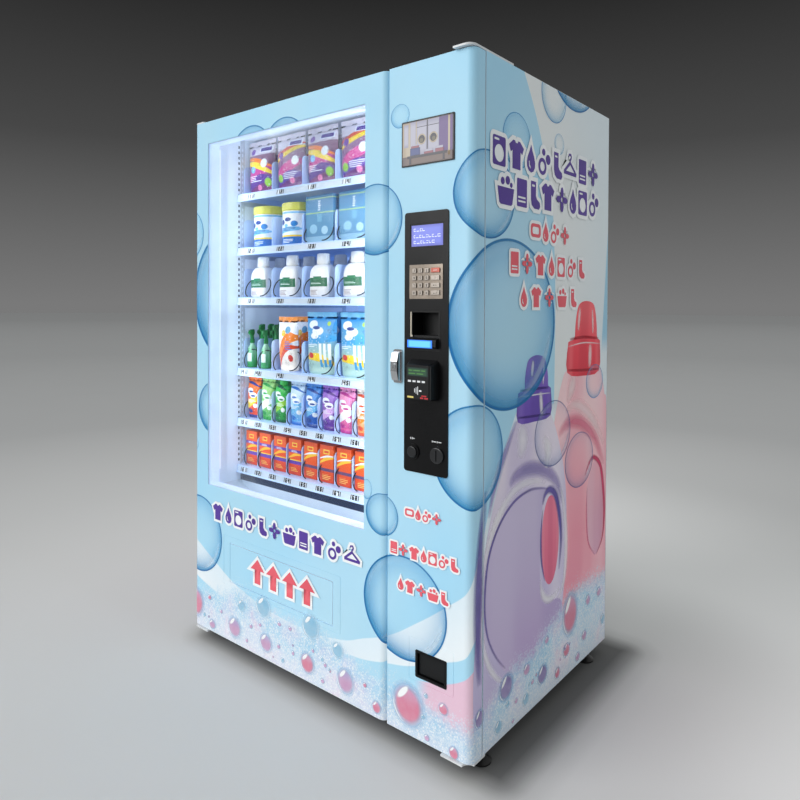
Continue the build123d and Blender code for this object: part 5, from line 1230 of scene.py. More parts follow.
PRINTS = {
    "pouch_a": print_material("pouch_a", rgb(150, 110, 130), rgb(116, 24, 104), sweeps=[(0.26, 0.20, 0.06, 0.22, C_MAGENTA), (0.10, 0.14, 0.10, 0.18, C_VIOLET), (0.60, -0.26, 0.05, 0.12, C_YELLOW), (0.68, -0.22, 0.05, 0.08, C_ORANGE)],
                              blobs=[(0.24, 0.80, 0.09, 0.06, C_PURPLE, 0.2), (0.70, 0.56, 0.12, 0.09, C_WHITE, 0.25), (0.30, 0.46, 0.10, 0.07, C_SKY, 0.3), (0.80, 0.20, 0.12, 0.09, C_LIME, 0.3),
                                     (0.48, 0.12, 0.09, 0.06, C_PINK, 0.3), (0.82, 0.80, 0.07, 0.05, C_WHITE, 0.3)],
                              lines=[(0.12, 0.60, 0.24, 0.36, 0.030, C_WHITE)], rects=[(0.50, 0.94, 0.77, 0.87, rgb(244, 242, 248)), (0.53, 0.91, 0.785, 0.855, rgb(74, 44, 140))], bands=[(0.73, 1.1, rgb(220, 208, 214))], film=1.0, rough=0.3, seed=1.0),
    "pouch_b": print_material("pouch_b", rgb(156, 118, 140), rgb(104, 30, 116), sweeps=[(0.24, 0.24, 0.04, 0.20, rgb(206, 60, 140)), (0.10, 0.14, 0.08, 0.16, rgb(96, 60, 160)), (0.50, 0.24, 0.05, 0.10, C_YELLOW), (0.60, 0.20, 0.04, 0.07, C_DEEP_ORANGE)],
                              blobs=[(0.76, 0.50, 0.12, 0.09, C_WHITE, 0.25), (0.26, 0.62, 0.10, 0.07, C_PURPLE, 0.2), (0.20, 0.22, 0.12, 0.08, C_LIME, 0.3), (0.62, 0.16, 0.10, 0.07, C_PINK, 0.3)],
                              lines=[(0.34, 0.86, 0.20, 0.32, 0.030, C_WHITE)], rects=[(0.50, 0.94, 0.77, 0.87, rgb(244, 242, 248)), (0.53, 0.91, 0.785, 0.855, rgb(74, 44, 140))], bands=[(0.73, 1.1, rgb(224, 212, 218))], film=1.0, rough=0.3, seed=2.0),
    "tub": print_material("tub", C_WHITE, rgb(236, 244, 250), bands=[(0.0, 0.22, rgb(26, 110, 190)), (0.20, 0.24, C_YELLOW), (0.74, 0.78, C_SKY)], sweeps=[(0.28, 0.10, 0.04, 0.12, C_SKY)],
                          blobs=[(0.30, 0.54, 0.10, 0.07, C_DEEP_BLUE, 0.15), (0.52, 0.60, 0.12, 0.05, C_DEEP_BLUE, 0.15), (0.72, 0.50, 0.10, 0.07, rgb(40, 130, 200), 0.15), (0.46, 0.46, 0.08, 0.04, C_SKY, 0.2)],
                          lines=[(0.24, 0.76, 0.34, 0.42, 0.030, C_DEEP_BLUE), (0.30, 0.70, 0.06, 0.15, 0.034, C_WHITE)], cap=rgb(226, 220, 96), cap_from=0.80, rough=0.26, seed=3.0),
    "box_blue": print_material("box_blue", rgb(70, 138, 178), rgb(100, 150, 184), bands=[(0.70, 0.98, rgb(62, 128, 170)), (0.62, 0.64, rgb(170, 206, 120)), (0.92, 0.94, rgb(170, 206, 120)), (0.0, 0.14, rgb(150, 190, 212))],
                               blobs=[(0.30, 0.30, 0.14, 0.10, rgb(150, 196, 220), 0.1), (0.70, 0.26, 0.12, 0.09, rgb(176, 212, 228), 0.1)], rects=[(0.44, 0.60, 0.44, 0.60, rgb(110, 170, 200))],
                               lines=[(0.46, 0.58, 0.68, 0.88, 0.045, rgb(236, 246, 248))], rough=0.36, seed=4.0),
    "jug_white": print_material("jug_white", rgb(246, 243, 238), rgb(234, 230, 226), rects=[(0.06, 0.94, 0.24, 0.44, rgb(22, 104, 66)), (0.30, 0.70, 0.40, 0.47, rgb(30, 120, 76))],
                                blobs=[(0.5, 0.35, 0.10, 0.03, rgb(120, 190, 130), 0.2)],
                                lines=[(0.16, 0.84, 0.30, 0.335, 0.030, rgb(220, 240, 226)), (0.14, 0.60, 0.06, 0.18, 0.030, rgb(150, 120, 120))], cap=rgb(246, 242, 234), cap_from=0.74, rough=0.24, seed=5.0),
    # painted shade: a greyer copy of the white jug print for the bottles behind the first in each lane
    "jug_white_shaded": print_material("jug_white_shaded", rgb(206, 216, 232), rgb(190, 202, 222), rects=[(0.06, 0.94, 0.24, 0.44, rgb(44, 110, 90))],
                               lines=[(0.14, 0.60, 0.06, 0.18, 0.030, rgb(130, 130, 140))], cap=rgb(206, 204, 204), cap_from=0.74, rough=0.24, seed=6.0),
    "spray_green": print_material("spray_green", rgb(190, 226, 200), rgb(52, 160, 84), rects=[(0.12, 0.88, 0.16, 0.38, rgb(232, 244, 232))], blobs=[(0.5, 0.30, 0.24, 0.05, C_GREEN, 0.2), (0.34, 0.20, 0.10, 0.03, rgb(240, 210, 60), 0.2)],
                                  lines=[(0.26, 0.74, 0.42, 0.50, 0.022, C_GREEN)], cap=rgb(14, 118, 50), cap_from=0.64, rough=0.22, seed=7.0),
    "bottle_orange": print_material("pack_orange", C_WHITE, rgb(250, 236, 220), sweeps=[(0.16, 0.46, 0.16, 0.26, C_ORANGE), (0.02, 0.42, 0.16, 0.12, C_DEEP_ORANGE)], bands=[(0.90, 1.0, rgb(250, 150, 60))],
                                    blobs=[(0.62, 0.76, 0.14, 0.07, rgb(90, 160, 200), 0.15), (0.40, 0.70, 0.12, 0.06, rgb(250, 206, 60), 0.15), (0.74, 0.24, 0.12, 0.07, rgb(220, 60, 50), 0.15)],
                                    lines=[(0.50, 0.86, 0.40, 0.56, 0.034, C_BLUE)], film=0.6, rough=0.26, seed=8.0),
    "card_blue": print_material("card_blue", rgb(60, 150, 210), rgb(190, 214, 180), bands=[(0.92, 1.0, rgb(120, 190, 226)), (0.0, 0.34, rgb(176, 208, 196))],
                                sweeps=[(0.50, 0.08, 0.05, 0.18, rgb(70, 160, 214)), (0.26, -0.10, 0.06, 0.14, C_YELLOW)],
                                blobs=[(0.28, 0.80, 0.16, 0.07, C_WHITE, 0.1), (0.46, 0.70, 0.20, 0.07, C_WHITE, 0.1), (0.36, 0.62, 0.14, 0.05, C_WHITE, 0.1), (0.40, 0.75, 0.14, 0.03, C_DEEP_BLUE, 0.2),
                                       (0.80, 0.82, 0.06, 0.04, rgb(170, 210, 60), 0.2), (0.22, 0.30, 0.10, 0.05, rgb(210, 60, 50), 0.2)],
                                rects=[(0.52, 0.60, 0.12, 0.50, C_WHITE), (0.66, 0.74, 0.12, 0.50, C_WHITE), (0.80, 0.88, 0.12, 0.50, C_WHITE), (0.52, 0.60, 0.12, 0.24, rgb(60, 150, 200)), (0.66, 0.74, 0.12, 0.24, rgb(60, 150, 200)), (0.80, 0.88, 0.12, 0.24, rgb(60, 150, 200))],
                                lines=[(0.10, 0.46, 0.44, 0.50, 0.028, C_WHITE)], film=0.6, rough=0.32, seed=9.0),
    "card_yellow": print_material("card_yellow", rgb(76, 160, 214), rgb(232, 224, 120), bands=[(0.0, 0.36, rgb(236, 226, 130))],
                                  sweeps=[(0.44, 0.10, 0.04, 0.12, C_WHITE), (0.60, -0.06, 0.03, 0.08, rgb(40, 110, 190))], blobs=[(0.40, 0.80, 0.24, 0.07, C_WHITE, 0.1), (0.60, 0.72, 0.18, 0.06, C_WHITE, 0.1), (0.50, 0.76, 0.20, 0.03, C_DEEP_BLUE, 0.2), (0.24, 0.22, 0.14, 0.08, rgb(60, 150, 206), 0.15)],
                                  rects=[(0.50, 0.58, 0.10, 0.46, C_WHITE), (0.64, 0.72, 0.10, 0.46, C_WHITE), (0.78, 0.86, 0.10, 0.46, C_WHITE)], film=0.6, rough=0.32, seed=10.0),
}


def slim(name, base, low, a, b, seed, cap=None, cap_from=0.8, film=0.8):
    return print_material(name, base, low, bands=[(0.0, 0.07, b)], sweeps=[(0.22, 0.26, 0.05, 0.20, a), (0.86, -0.10, 0.03, 0.06, b)],
                          blobs=[(0.36, 0.66, 0.26, 0.07, C_WHITE, 0.15), (0.60, 0.56, 0.28, 0.07, C_WHITE, 0.15), (0.44, 0.64, 0.18, 0.025, b, 0.2), (0.62, 0.54, 0.18, 0.025, b, 0.2),
                                 (0.30, 0.16, 0.20, 0.06, b, 0.25), (0.74, 0.30, 0.16, 0.06, C_WHITE, 0.3)],
                          lines=[(0.2, 0.8, 0.38, 0.46, 0.026, C_WHITE)], cap=cap, cap_from=cap_from, rough=0.28, seed=seed, film=film)


PRINTS.update({
    "slim_orange": slim("slim_orange", rgb(250, 120, 44), rgb(232, 70, 40), C_YELLOW, C_DEEP_BLUE, 11.0),
    "slim_lime": slim("slim_lime", rgb(160, 214, 120), rgb(90, 180, 90), C_WHITE, C_GREEN, 12.0),
    "slim_green": slim("slim_green", rgb(60, 190, 80), rgb(24, 140, 60), C_LIME, rgb(12, 96, 50), 13.0),
    "slim_aqua": slim("slim_aqua", rgb(210, 232, 244), rgb(90, 170, 226), C_SKY, C_BLUE, 14.0),
    "slim_blue": slim("slim_blue", rgb(80, 150, 222), rgb(30, 86, 180), C_SKY, C_DEEP_BLUE, 15.0),
    "slim_violet": slim("slim_violet", rgb(160, 110, 200), rgb(110, 60, 160), rgb(226, 180, 236), C_VIOLET, 16.0),
    "slim_pink": slim("slim_pink", rgb(244, 150, 190), rgb(226, 90, 150), C_WHITE, C_MAGENTA, 17.0),
    "slim_peach": slim("slim_peach", rgb(250, 232, 214), rgb(250, 150, 80), C_ORANGE, C_DEEP_ORANGE, 18.0),
    "box_orange": print_material("box_orange", rgb(238, 92, 34), rgb(222, 64, 28), bands=[(0.62, 0.70, rgb(96, 60, 160)), (0.30, 0.40, rgb(96, 60, 160)), (0.40, 0.425, C_YELLOW)],
                                 sweeps=[(0.44, 0.14, 0.05, 0.08, rgb(252, 186, 50))], rects=[(0.30, 0.70, 0.78, 0.90, rgb(250, 200, 70)), (0.36, 0.64, 0.81, 0.87, rgb(226, 70, 30))],
                                 lines=[(0.18, 0.82, 0.10, 0.22, 0.040, rgb(250, 196, 90)), (0.24, 0.76, 0.635, 0.68, 0.030, C_WHITE)], rough=0.34, seed=19.0),
    "box_orange_grey": print_material("box_orange_grey", rgb(240, 100, 36), rgb(226, 72, 30), bands=[(0.30, 0.38, rgb(90, 70, 110)), (0.90, 1.0, rgb(232, 80, 30))],
                                      sweeps=[(0.50, 0.18, 0.05, 0.10, rgb(252, 196, 60)), (0.62, 0.10, 0.03, 0.05, C_WHITE)], rects=[(0.28, 0.72, 0.76, 0.88, rgb(252, 206, 80)), (0.34, 0.66, 0.79, 0.85, rgb(232, 84, 34))],
                                      lines=[(0.2, 0.8, 0.08, 0.22, 0.045, rgb(250, 206, 110))], rough=0.34, seed=20.0),
})
BODY_OF_TRAY = {k: f"tray_{k}_body" for k in "abcdef"}
TRAY_Z = {"a": 1592, "b": 1396, "c": 1215, "d": 957, "e": 773, "f": 600}
LANE, LANE_X0 = 79.0, 68.0


def goods(name, tray, cx, mesh_fn, size, mat, first_y, pitch, count, lean=0.0, wob=1.2):
    """A lane's packs, one behind the other, as one piece on the tray."""
    total = bmesh.new()
    total.loops.layers.uv.new("UVMap")
    for i in range(count):
        bm = mesh_fn(*size)
        d = size[2]
        turn = random.uniform(-wob, wob)
        m = Matrix.Translation((cx + random.uniform(-1.5, 1.5), first_y + i * pitch + d / 2, TRAY_Z[tray] + 0.6)) @ Matrix.Rotation(math.radians(turn), 4, "Z") @ Matrix.Rotation(math.radians(lean), 4, "X")
        bm.transform(m)
        tmp = bpy.data.meshes.new("tmp")
        bm.to_mesh(tmp)
        total.from_mesh(tmp)
        bpy.data.meshes.remove(tmp)
        bm.free()
    for v in total.verts:
        v.co = P(*v.co)
    me = bpy.data.meshes.new(name)
    total.to_mesh(me)
    total.free()
    ob = bpy.data.objects.new(name, me)
    bpy.context.scene.collection.objects.link(ob)
    me.materials.append(PRINTS[mat])
    for poly in me.polygons:
        poly.use_smooth = True
    me.set_sharp_from_angle(angle=math.radians(38))
    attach(ob, BODY_OF_TRAY[tray])
    return ob


def lane_x(a, b=None):
    """Middle of lane a (first is 0), or of lanes a to b together."""
    b = a if b is None else b
    return LANE_X0 + LANE * (a + b + 1) / 2


random.seed(11)
for i in range(5):
    goods(f"goods_a{i + 1}", "a", lane_x(2 * i, 2 * i + 1), pack_pouch, (146, 194, 46), "pouch_a" if i % 2 == 0 else "pouch_b", 170, 108, 5, 2.0)
for i in range(2):
    goods(f"goods_b{i + 1}", "b", lane_x(2 * i, 2 * i + 1), pack_tub, (128, 150, 128), "tub", 164, 132, 4)
for i in range(3):
    goods(f"goods_b{i + 3}", "b", lane_x(4 + 2 * i, 5 + 2 * i), pack_box, (136, 160, 46), "box_blue", 170, 77, 6)
for i in range(5):
    bottle = lambda w, h, d: pack_bottle(w, h, d, 0.56, 0.75, 0.48, 4.2)
    goods(f"goods_c{i + 1}", "c", lane_x(2 * i, 2 * i + 1) - 8, bottle, (94, 148, 60), "jug_white", 168, 77, 1)
    # the bottles behind the first carry the shaded copy of the white jug print (painted shade)
    goods(f"goods_c{i + 1}_rear", "c", lane_x(2 * i, 2 * i + 1) - 4, bottle, (94, 148, 60), "jug_white_shaded", 245, 77, 5)
for i in range(2):
    goods(f"goods_d{i + 1}", "d", lane_x(i) - 18, pack_spray, (34, 140, 34), "spray_green", 168, 42, 10)
    goods(f"goods_d{i + 1}_back", "d", lane_x(i) + 18, pack_spray, (34, 160, 34), "spray_green", 189, 42, 10)
goods("goods_d3", "d", lane_x(2, 3) - 10, pack_pouch, (98, 190, 40), "bottle_orange", 172, 77, 6, 3.0)
goods("goods_d4", "d", lane_x(4, 5), pack_pouch, (138, 208, 42), "card_blue", 170, 77, 6, 2.0)
goods("goods_d5", "d", lane_x(6, 7), pack_pouch, (138, 208, 42), "card_blue", 170, 77, 6, 2.0)
goods("goods_d6", "d", lane_x(8, 9), pack_pouch, (138, 208, 42), "card_yellow", 170, 77, 6, 2.0)
E_ROW = ["slim_orange", "slim_lime", "slim_green", "slim_aqua", "slim_blue", "slim_violet", "slim_pink", "slim_peach", "slim_orange", "slim_blue"]
for i, mat in enumerate(E_ROW):
    if i == 2:
        goods(f"goods_e{i + 1}", "e", lane_x(i), lambda w, h, d: pack_bottle(w, h, d, 0.55, 0.86, 0.76, 3.0), (66, 150, 46), mat, 168, 60, 8)
    else:
        goods(f"goods_e{i + 1}", "e", lane_x(i), pack_pouch, (71, 150, 40), mat, 169, 60, 8, 1.5)
for i in range(10):
    goods(f"goods_f{i + 1}", "f", lane_x(i), pack_box, (64, 124, 44), "box_orange" if i < 4 else "box_orange_grey", 168, 60, 8)


# ------------------------------------------------------------------ price strips and their numbers
SEGMENTS = {"0": "abcdef", "1": "bc", "2": "abged", "3": "abgcd", "4": "fgbc", "5": "afgcd", "6": "afgedc", "7": "abc", "8": "abcdefg", "9": "abcdfg"}


def digit_polys(ch, w, h, s):
    """Strokes of a plain digit in a w by h cell, stroke s."""
    m = h / 2
    boxes = {"a": (0, w, h - s, h), "b": (w - s, w, m, h), "c": (w - s, w, 0, m), "d": (0, w, 0, s), "e": (0, s, 0, m), "f": (0, s, m, h), "g": (0, w, m - s / 2, m + s / 2)}
    return [boxes[k] for k in SEGMENTS.get(ch, "")]


def flat_marks(name, rects, place, material, body):
    """Thin marks: rects (a0, a1, b0, b1) in mm, placed by place(a, b) -> point in metres."""
    bm = bmesh.new()
    uv = bm.loops.layers.uv.new("UVMap")
    for a0, a1, b0, b1 in rects:
        f = bm.faces.new([bm.verts.new(place(a, b)) for a, b in ((a0, b0), (a1, b0), (a1, b1), (a0, b1))])
        for loop, q in zip(f.loops, ((0, 0), (1, 0), (1, 1), (0, 1))):
            loop[uv].uv = q
    me = bpy.data.meshes.new(name)
    bm.to_mesh(me)
    bm.free()
    ob = bpy.data.objects.new(name, me)
    bpy.context.scene.collection.objects.link(ob)
    me.materials.append(material)
    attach(ob, body)
    return ob


def text_rects(text, a, b, h, w=None, s=None, gap=None):
    w, s = w or h * 0.55, s or h * 0.16
    gap = gap or h * 0.24
    out = []
    for ch in text:
        out += [(a + x0, a + x1, b + z0, b + z1) for x0, x1, z0, z1 in digit_polys(ch, w, h, s)]
        a += w + gap
    return out


def text_width(text, h):
    return len(text) * h * 0.55 + (len(text) - 1) * h * 0.24


M_MARK = plain("mark_dark", rgb(8, 10, 20), rgb(12, 15, 28), 0.5, grain=600, spec=0.1)
M_LABEL = plain("label_paper", rgb(244, 246, 248), rgb(228, 232, 236), 0.55, grain=900, bump=0.08)
M_RAIL = plain("price_rail", rgb(206, 216, 226), rgb(186, 198, 210), 0.35, grain=500, wear=0.2, wear_color=rgb(150, 158, 166))
M_MARK_WHITE = plain("mark_white", rgb(236, 238, 240), rgb(220, 222, 226), 0.5, grain=600)
LANES = {"a": [2] * 5, "b": [2] * 5, "c": [2] * 5, "d": [1, 1, 2, 2, 2, 2], "e": [1] * 10, "f": [1] * 10}
for row, (k, lanes) in enumerate(LANES.items()):
    zf = TRAY_Z[k]

    def on_rail(a, b, zf=zf, lift=0.35):
        # face of the price rail: leans from y 138 at the top to 134 at the foot
        f = b / 20.0
        return P(a, 134 + 4 * f - lift, zf - 23 + b)

    flat_marks(f"rail_face_{k}", [(68.5, 857.5, 1.2, 18.8)], lambda a, b, g=on_rail: g(a, b, lift=0.15), M_RAIL, BODY_OF_TRAY[k])
    tags, marks = [], []
    x, number = LANE_X0, 1
    for wd in lanes:
        mid = x + wd * LANE / 2
        tags.append((mid - 17, mid + 17, 2.6, 17.4))
        text = f"{row + 1}{number % 10}"
        marks += text_rects(text, mid - 11.1, 2.7, 14.6, w=9.6, s=4.0, gap=3.0)
        marks += [(mid - 17.4, mid - 14.0, 2.6, 17.4), (mid + 14.0, mid + 17.4, 2.6, 17.4)]
        x += wd * LANE
        number += 1
    flat_marks(f"price_tag_{k}", tags, lambda a, b, g=on_rail: g(a, b, lift=0.45), M_LABEL, BODY_OF_TRAY[k])
    flat_marks(f"price_number_{k}", marks, lambda a, b, g=on_rail: g(a, b, lift=0.75), M_MARK, BODY_OF_TRAY[k])


# painted shade: dark navy marks on the uprights stand in for the shade inside their slots
slots = [(141.0, 147.5, 612.0 + 19.5 * i, 621.5 + 19.5 * i) for i in range(60)]
flat_marks("upright_slots_left", slots, lambda a, b: P(64.35, a, b), M_SLOT_SHADE, "base")
flat_marks("upright_slots_right", slots, lambda a, b: P(861.65, a, b), M_SLOT_SHADE, "base")


# ------------------------------------------------------------------ control panel marks
def on_plane(y):
    return lambda a, b: P(a, y, b)


KEY_X, KEY_Z, KEY_WIDE_X = (1005.5, 1026.0, 1046.5), (1280.5, 1261.2, 1241.9, 1222.6), 1074.0
KEYS = [["1", "2", "3", "clear"], ["4", "5", "6", "info"], ["7", "8", "9", "back"], ["star", "0", "hash", "enter"]]
for r, row in enumerate(KEYS):
    for c, k in enumerate(row):
        kx, kz = (KEY_X[c] if c < 3 else KEY_WIDE_X), KEY_Z[r]
        if k.isdigit():
            rects = text_rects(k, kx - 1.9, kz - 3.4, 6.8, 3.8, 1.1)
        elif k == "star":
            rects = [(kx - 3.2, kx + 3.2, kz - 0.5, kz + 0.5), (kx - 0.5, kx + 0.5, kz - 3.2, kz + 3.2), (kx - 2.2, kx - 1.2, kz - 2.2, kz - 1.2),
                     (kx + 1.2, kx + 2.2, kz + 1.2, kz + 2.2), (kx - 2.2, kx - 1.2, kz + 1.2, kz + 2.2), (kx + 1.2, kx + 2.2, kz - 2.2, kz - 1.2)]
        elif k == "hash":
            rects = [(kx - 3, kx + 3, kz + 0.8, kz + 1.7), (kx - 3, kx + 3, kz - 1.7, kz - 0.8), (kx - 1.9, kx - 1.0, kz - 3, kz + 3), (kx + 1.0, kx + 1.9, kz - 3, kz + 3)]
        elif k == "clear":
            rects = [(kx - 6, kx + 6, kz - 0.6, kz + 0.6)]
        elif k == "info":
            rects = [(kx - 0.7, kx + 0.7, kz - 3.2, kz + 1.2), (kx - 0.7, kx + 0.7, kz + 2.0, kz + 3.4)]
        elif k == "back":
            rects = [(kx - 5, kx + 5, kz - 0.5, kz + 0.5), (kx - 5, kx - 3.8, kz - 1.8, kz + 1.8), (kx - 6.4, kx - 5, kz - 0.8, kz + 0.8)]
        else:
            rects = [(kx - 5.5, kx + 5.5, kz - 2.0, kz - 1.1), (kx + 4.6, kx + 5.5, kz - 2.0, kz + 2.4), (kx - 5.5, kx - 4.3, kz - 3.2, kz + 0.2)]
        body = f"key_{k}_body"
        flat_marks(f"key_mark_{k}", rects, on_plane(-8.06), M_MARK_WHITE if k == "clear" else M_MARK, body)


def screen_material(name, col, col2, strength, grid=None):
    """Lit display: even backlight falling off to the edges, fine pixel grid, faint dust."""
    t = Tree(name)
    co = t.coord()
    u, v, _ = t.xyz(t.uv())
    edge = t.mul(t.mul(t.step(u, 0.0, 0.12), t.sub(1.0, t.step(u, 0.88, 1.0))), t.mul(t.step(v, 0.0, 0.2), t.sub(1.0, t.step(v, 0.8, 1.0))))
    c = t.mix(edge, col2, col)
    if grid:
        g = t.math("GREATER_THAN", t.math("FRACT", t.mul(u, grid[0])), 0.16)
        h2 = t.math("GREATER_THAN", t.math("FRACT", t.mul(v, grid[1])), 0.16)
        c = t.mix(t.mul(t.sub(1.0, t.mul(g, h2)), 0.25), c, col2)
    dust = t.step(t.noise(co, 500.0, 2.0), 0.7, 0.78)
    c = t.mix(t.mul(dust, 0.05), c, (0.9, 0.9, 0.95, 1.0))
    p = t.principled(Base_Color=(0.02, 0.02, 0.03, 1.0), Roughness=t.range(t.noise(co, 12.0, 3.0), 0.3, 0.7, 0.10, 0.2), Emission_Color=c)
    p.inputs["Emission Strength"].default_value = strength
    return t.finish(p.outputs[0])


M_SCREEN = screen_material("display_glow", rgb(104, 120, 232), rgb(76, 86, 200), 0.95, (96, 44))
M_GLYPH = screen_material("display_glyphs", rgb(232, 240, 255), rgb(224, 234, 255), 1.0)
M_LCD = screen_material("reader_lcd", rgb(52, 92, 60), rgb(24, 52, 36), 0.8, (60, 16))
M_LCD_GLYPH = screen_material("reader_glyphs", rgb(84, 140, 70), rgb(74, 128, 62), 0.9)
M_SCREEN_MARK = plain("mark_yellow", rgb(232, 214, 120), rgb(214, 196, 96), 0.5, grain=600)
M_MARK_RED = plain("mark_red", rgb(206, 40, 48), rgb(180, 30, 40), 0.5, grain=600)
M_FRAME = plain("note_frame", rgb(196, 188, 172), rgb(170, 162, 146), 0.35, metal=0.6, grain=300)
M_BLUE_GLOW = screen_material("note_glow", rgb(92, 176, 250), rgb(40, 110, 226), 1.7)
flat_marks("display_face", [(992.5, 1094.5, 1344, 1399)], on_plane(-2.45), M_SCREEN, "control_door")
rects = []
for line, (b, n) in enumerate(((1383, 4), (1366, 9), (1351, 7))):
    a = 1000.0
    for k in range(n):
        wd = (6.5, 9.0, 5.0, 8.0, 7.0, 10.0, 5.5, 8.5, 6.0)[(k + line * 2) % 9]
        rects.append((a, min(a + wd, 1088), b, b + 2.0))
        if k % 3 != 1:
            rects.append((a, a + 1.4, b, b + 7.6))
        if k % 2 == 0:
            rects.append((a, min(a + wd, 1088), b + 6.0, b + 7.6))
        a += wd + 2.6
        if a > 1086:
            break
flat_marks("display_bars", rects, on_plane(-2.62), M_GLYPH, "control_door")
flat_marks("reader_lcd_face", [(1004, 1070, 1008, 1030)], on_plane(-32.12), M_LCD, "control_door")
flat_marks("reader_lcd_bars", [(1008, 1020, 1021, 1024), (1023, 1046, 1021, 1024), (1049, 1062, 1021, 1024), (1008, 1030, 1013, 1016), (1034, 1056, 1013, 1016)], on_plane(-32.3), M_LCD_GLYPH, "control_door")
flat_marks("reader_keys", [(1006, 1016, 992, 997), (1021, 1031, 992, 997), (1036, 1046, 992, 997), (1051, 1061, 992, 997)], on_plane(-32.12), M_MARK_WHITE, "control_door")
flat_marks("reader_waves", [(1027, 1029, 966, 976), (1032, 1034, 963, 979), (1037, 1039, 960, 982), (1042, 1050, 969, 973)], on_plane(-32.12), M_LABEL, "control_door")
flat_marks("reader_yellow", [(1004, 1024, 951, 955.5)], on_plane(-32.12), M_SCREEN_MARK, "control_door")
flat_marks("reader_red", [(1046, 1056, 951, 955), (1059, 1071, 951, 955), (1050, 1066, 957, 960)], on_plane(-32.12), M_MARK_RED, "control_door")
flat_marks("note_frame", [(993.5, 997.5, 1112, 1173), (993.5, 1001, 1108, 1112)], on_plane(-7.2), M_FRAME, "control_door")
flat_marks("button_mark", [(995, 997.4, 838, 843), (999, 1009, 839.4, 841.6), (1001, 1003, 837.5, 843.5)], on_plane(-7.2), M_MARK_WHITE, "control_door")
flat_marks("coin_mark", [(1066, 1068, 838, 843), (1070, 1080, 839.4, 841.6), (1082, 1084, 838, 843), (1086, 1096, 839.4, 841.6)], on_plane(-7.2), M_MARK_WHITE, "control_door")
flat_marks("note_light", [(990.5, 1071, 1080, 1100)], on_plane(-16.15), M_BLUE_GLOW, "control_door")


# ------------------------------------------------------------------ the small screen: a plain laundry room
def room_material(name, col, col2):
    """Lit print tone with a slow fall-off across it."""
    return screen_material(name, col, col2, 0.62)


PIC_X0, PIC_X1, PIC_Z0, PIC_Z1 = 961.0, 1125.0, 1559.0, 1672.0


def picture_piece(name, rects, mat, off):
    flat_marks("picture_" + name, [(PIC_X0 + 164 * a, PIC_X0 + 164 * b, PIC_Z0 + 113 * c, PIC_Z0 + 113 * d) for a, b, c, d in rects], on_plane(-2.55 - off), mat, "control_door")


def picture_disc(name, rings, mat, off):
    for i, (a, c, r) in enumerate(rings):
        me_disc = bmesh.new()
        uvl = me_disc.loops.layers.uv.new("UVMap")
        centre = (PIC_X0 + 164 * a, PIC_Z0 + 113 * c)
        f = me_disc.faces.new([me_disc.verts.new(P(centre[0] + r * math.cos(math.pi * k / 20), -2.55 - off, centre[1] + r * math.sin(math.pi * k / 20))) for k in range(40)])
        for loop, k in zip(f.loops, range(40)):
            loop[uvl].uv = (0.5 + 0.5 * math.cos(math.pi * k / 20), 0.5 + 0.5 * math.sin(math.pi * k / 20))
        me = bpy.data.meshes.new(f"picture_{name}_{i}")
        me_disc.to_mesh(me)
        me_disc.free()
        ob = bpy.data.objects.new(f"picture_{name}_{i}", me)
        bpy.context.scene.collection.objects.link(ob)
        me.materials.append(mat)
        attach(ob, "control_door")


R_CREAM, R_WHITE = room_material("room_cream", rgb(214, 200, 172), rgb(190, 170, 142)), room_material("room_white", rgb(206, 206, 224), rgb(176, 176, 200))
R_PURPLE, R_FLOOR = room_material("room_purple", rgb(112, 82, 150), rgb(92, 64, 132)), room_material("room_floor", rgb(126, 104, 92), rgb(96, 76, 68))
R_DARK, R_BLUE = room_material("room_dark", rgb(46, 40, 52), rgb(30, 26, 36)), room_material("room_blue", rgb(60, 80, 150), rgb(40, 56, 116))
R_ROSE, R_OLIVE = room_material("room_rose", rgb(170, 96, 110), rgb(140, 74, 90)), room_material("room_olive", rgb(120, 112, 86), rgb(84, 78, 58))
picture_piece("wall", [(0.0, 1.0, 0.0, 1.0)], R_CREAM, 0.0)
picture_piece("window", [(0.16, 0.27, 0.30, 1.0), (0.03, 0.12, 0.42, 0.95)], R_WHITE, 0.12)
picture_piece("purple", [(0.72, 1.0, 0.16, 1.0)], R_PURPLE, 0.14)
picture_piece("washers", [(0.29, 0.49, 0.20, 0.98), (0.51, 0.73, 0.20, 0.98)], R_WHITE, 0.24)
picture_piece("seams", [(0.49, 0.51, 0.20, 0.98), (0.29, 0.49, 0.84, 0.855), (0.51, 0.73, 0.84, 0.855), (0.0, 1.0, 0.985, 1.0), (0.985, 1.0, 0.0, 1.0)], R_DARK, 0.36)
picture_piece("door_frame", [(0.90, 0.94, 0.10, 1.0)], R_CREAM, 0.36)
picture_piece("floor", [(0.0, 1.0, 0.0, 0.20)], R_FLOOR, 0.36)
picture_disc("rim", [(0.39, 0.56, 14.0), (0.62, 0.56, 14.0)], R_CREAM, 0.48)
picture_disc("glass", [(0.39, 0.56, 10.5), (0.62, 0.56, 10.5)], R_DARK, 0.60)
picture_disc("clothes", [(0.385, 0.53, 6.4), (0.63, 0.53, 6.0)], R_OLIVE, 0.72)
picture_piece("bench", [(0.10, 0.88, 0.15, 0.21), (0.14, 0.18, 0.02, 0.15), (0.80, 0.84, 0.02, 0.15)], R_DARK, 0.72)
picture_piece("basket", [(0.16, 0.36, 0.21, 0.38)], R_BLUE, 0.84)
picture_piece("towels", [(0.44, 0.62, 0.21, 0.26), (0.66, 0.82, 0.21, 0.29), (0.18, 0.34, 0.38, 0.43)], R_ROSE, 0.84)
picture_piece("towels_pale", [(0.45, 0.61, 0.26, 0.31), (0.67, 0.81, 0.29, 0.34), (0.20, 0.32, 0.43, 0.46)], R_WHITE, 0.84)


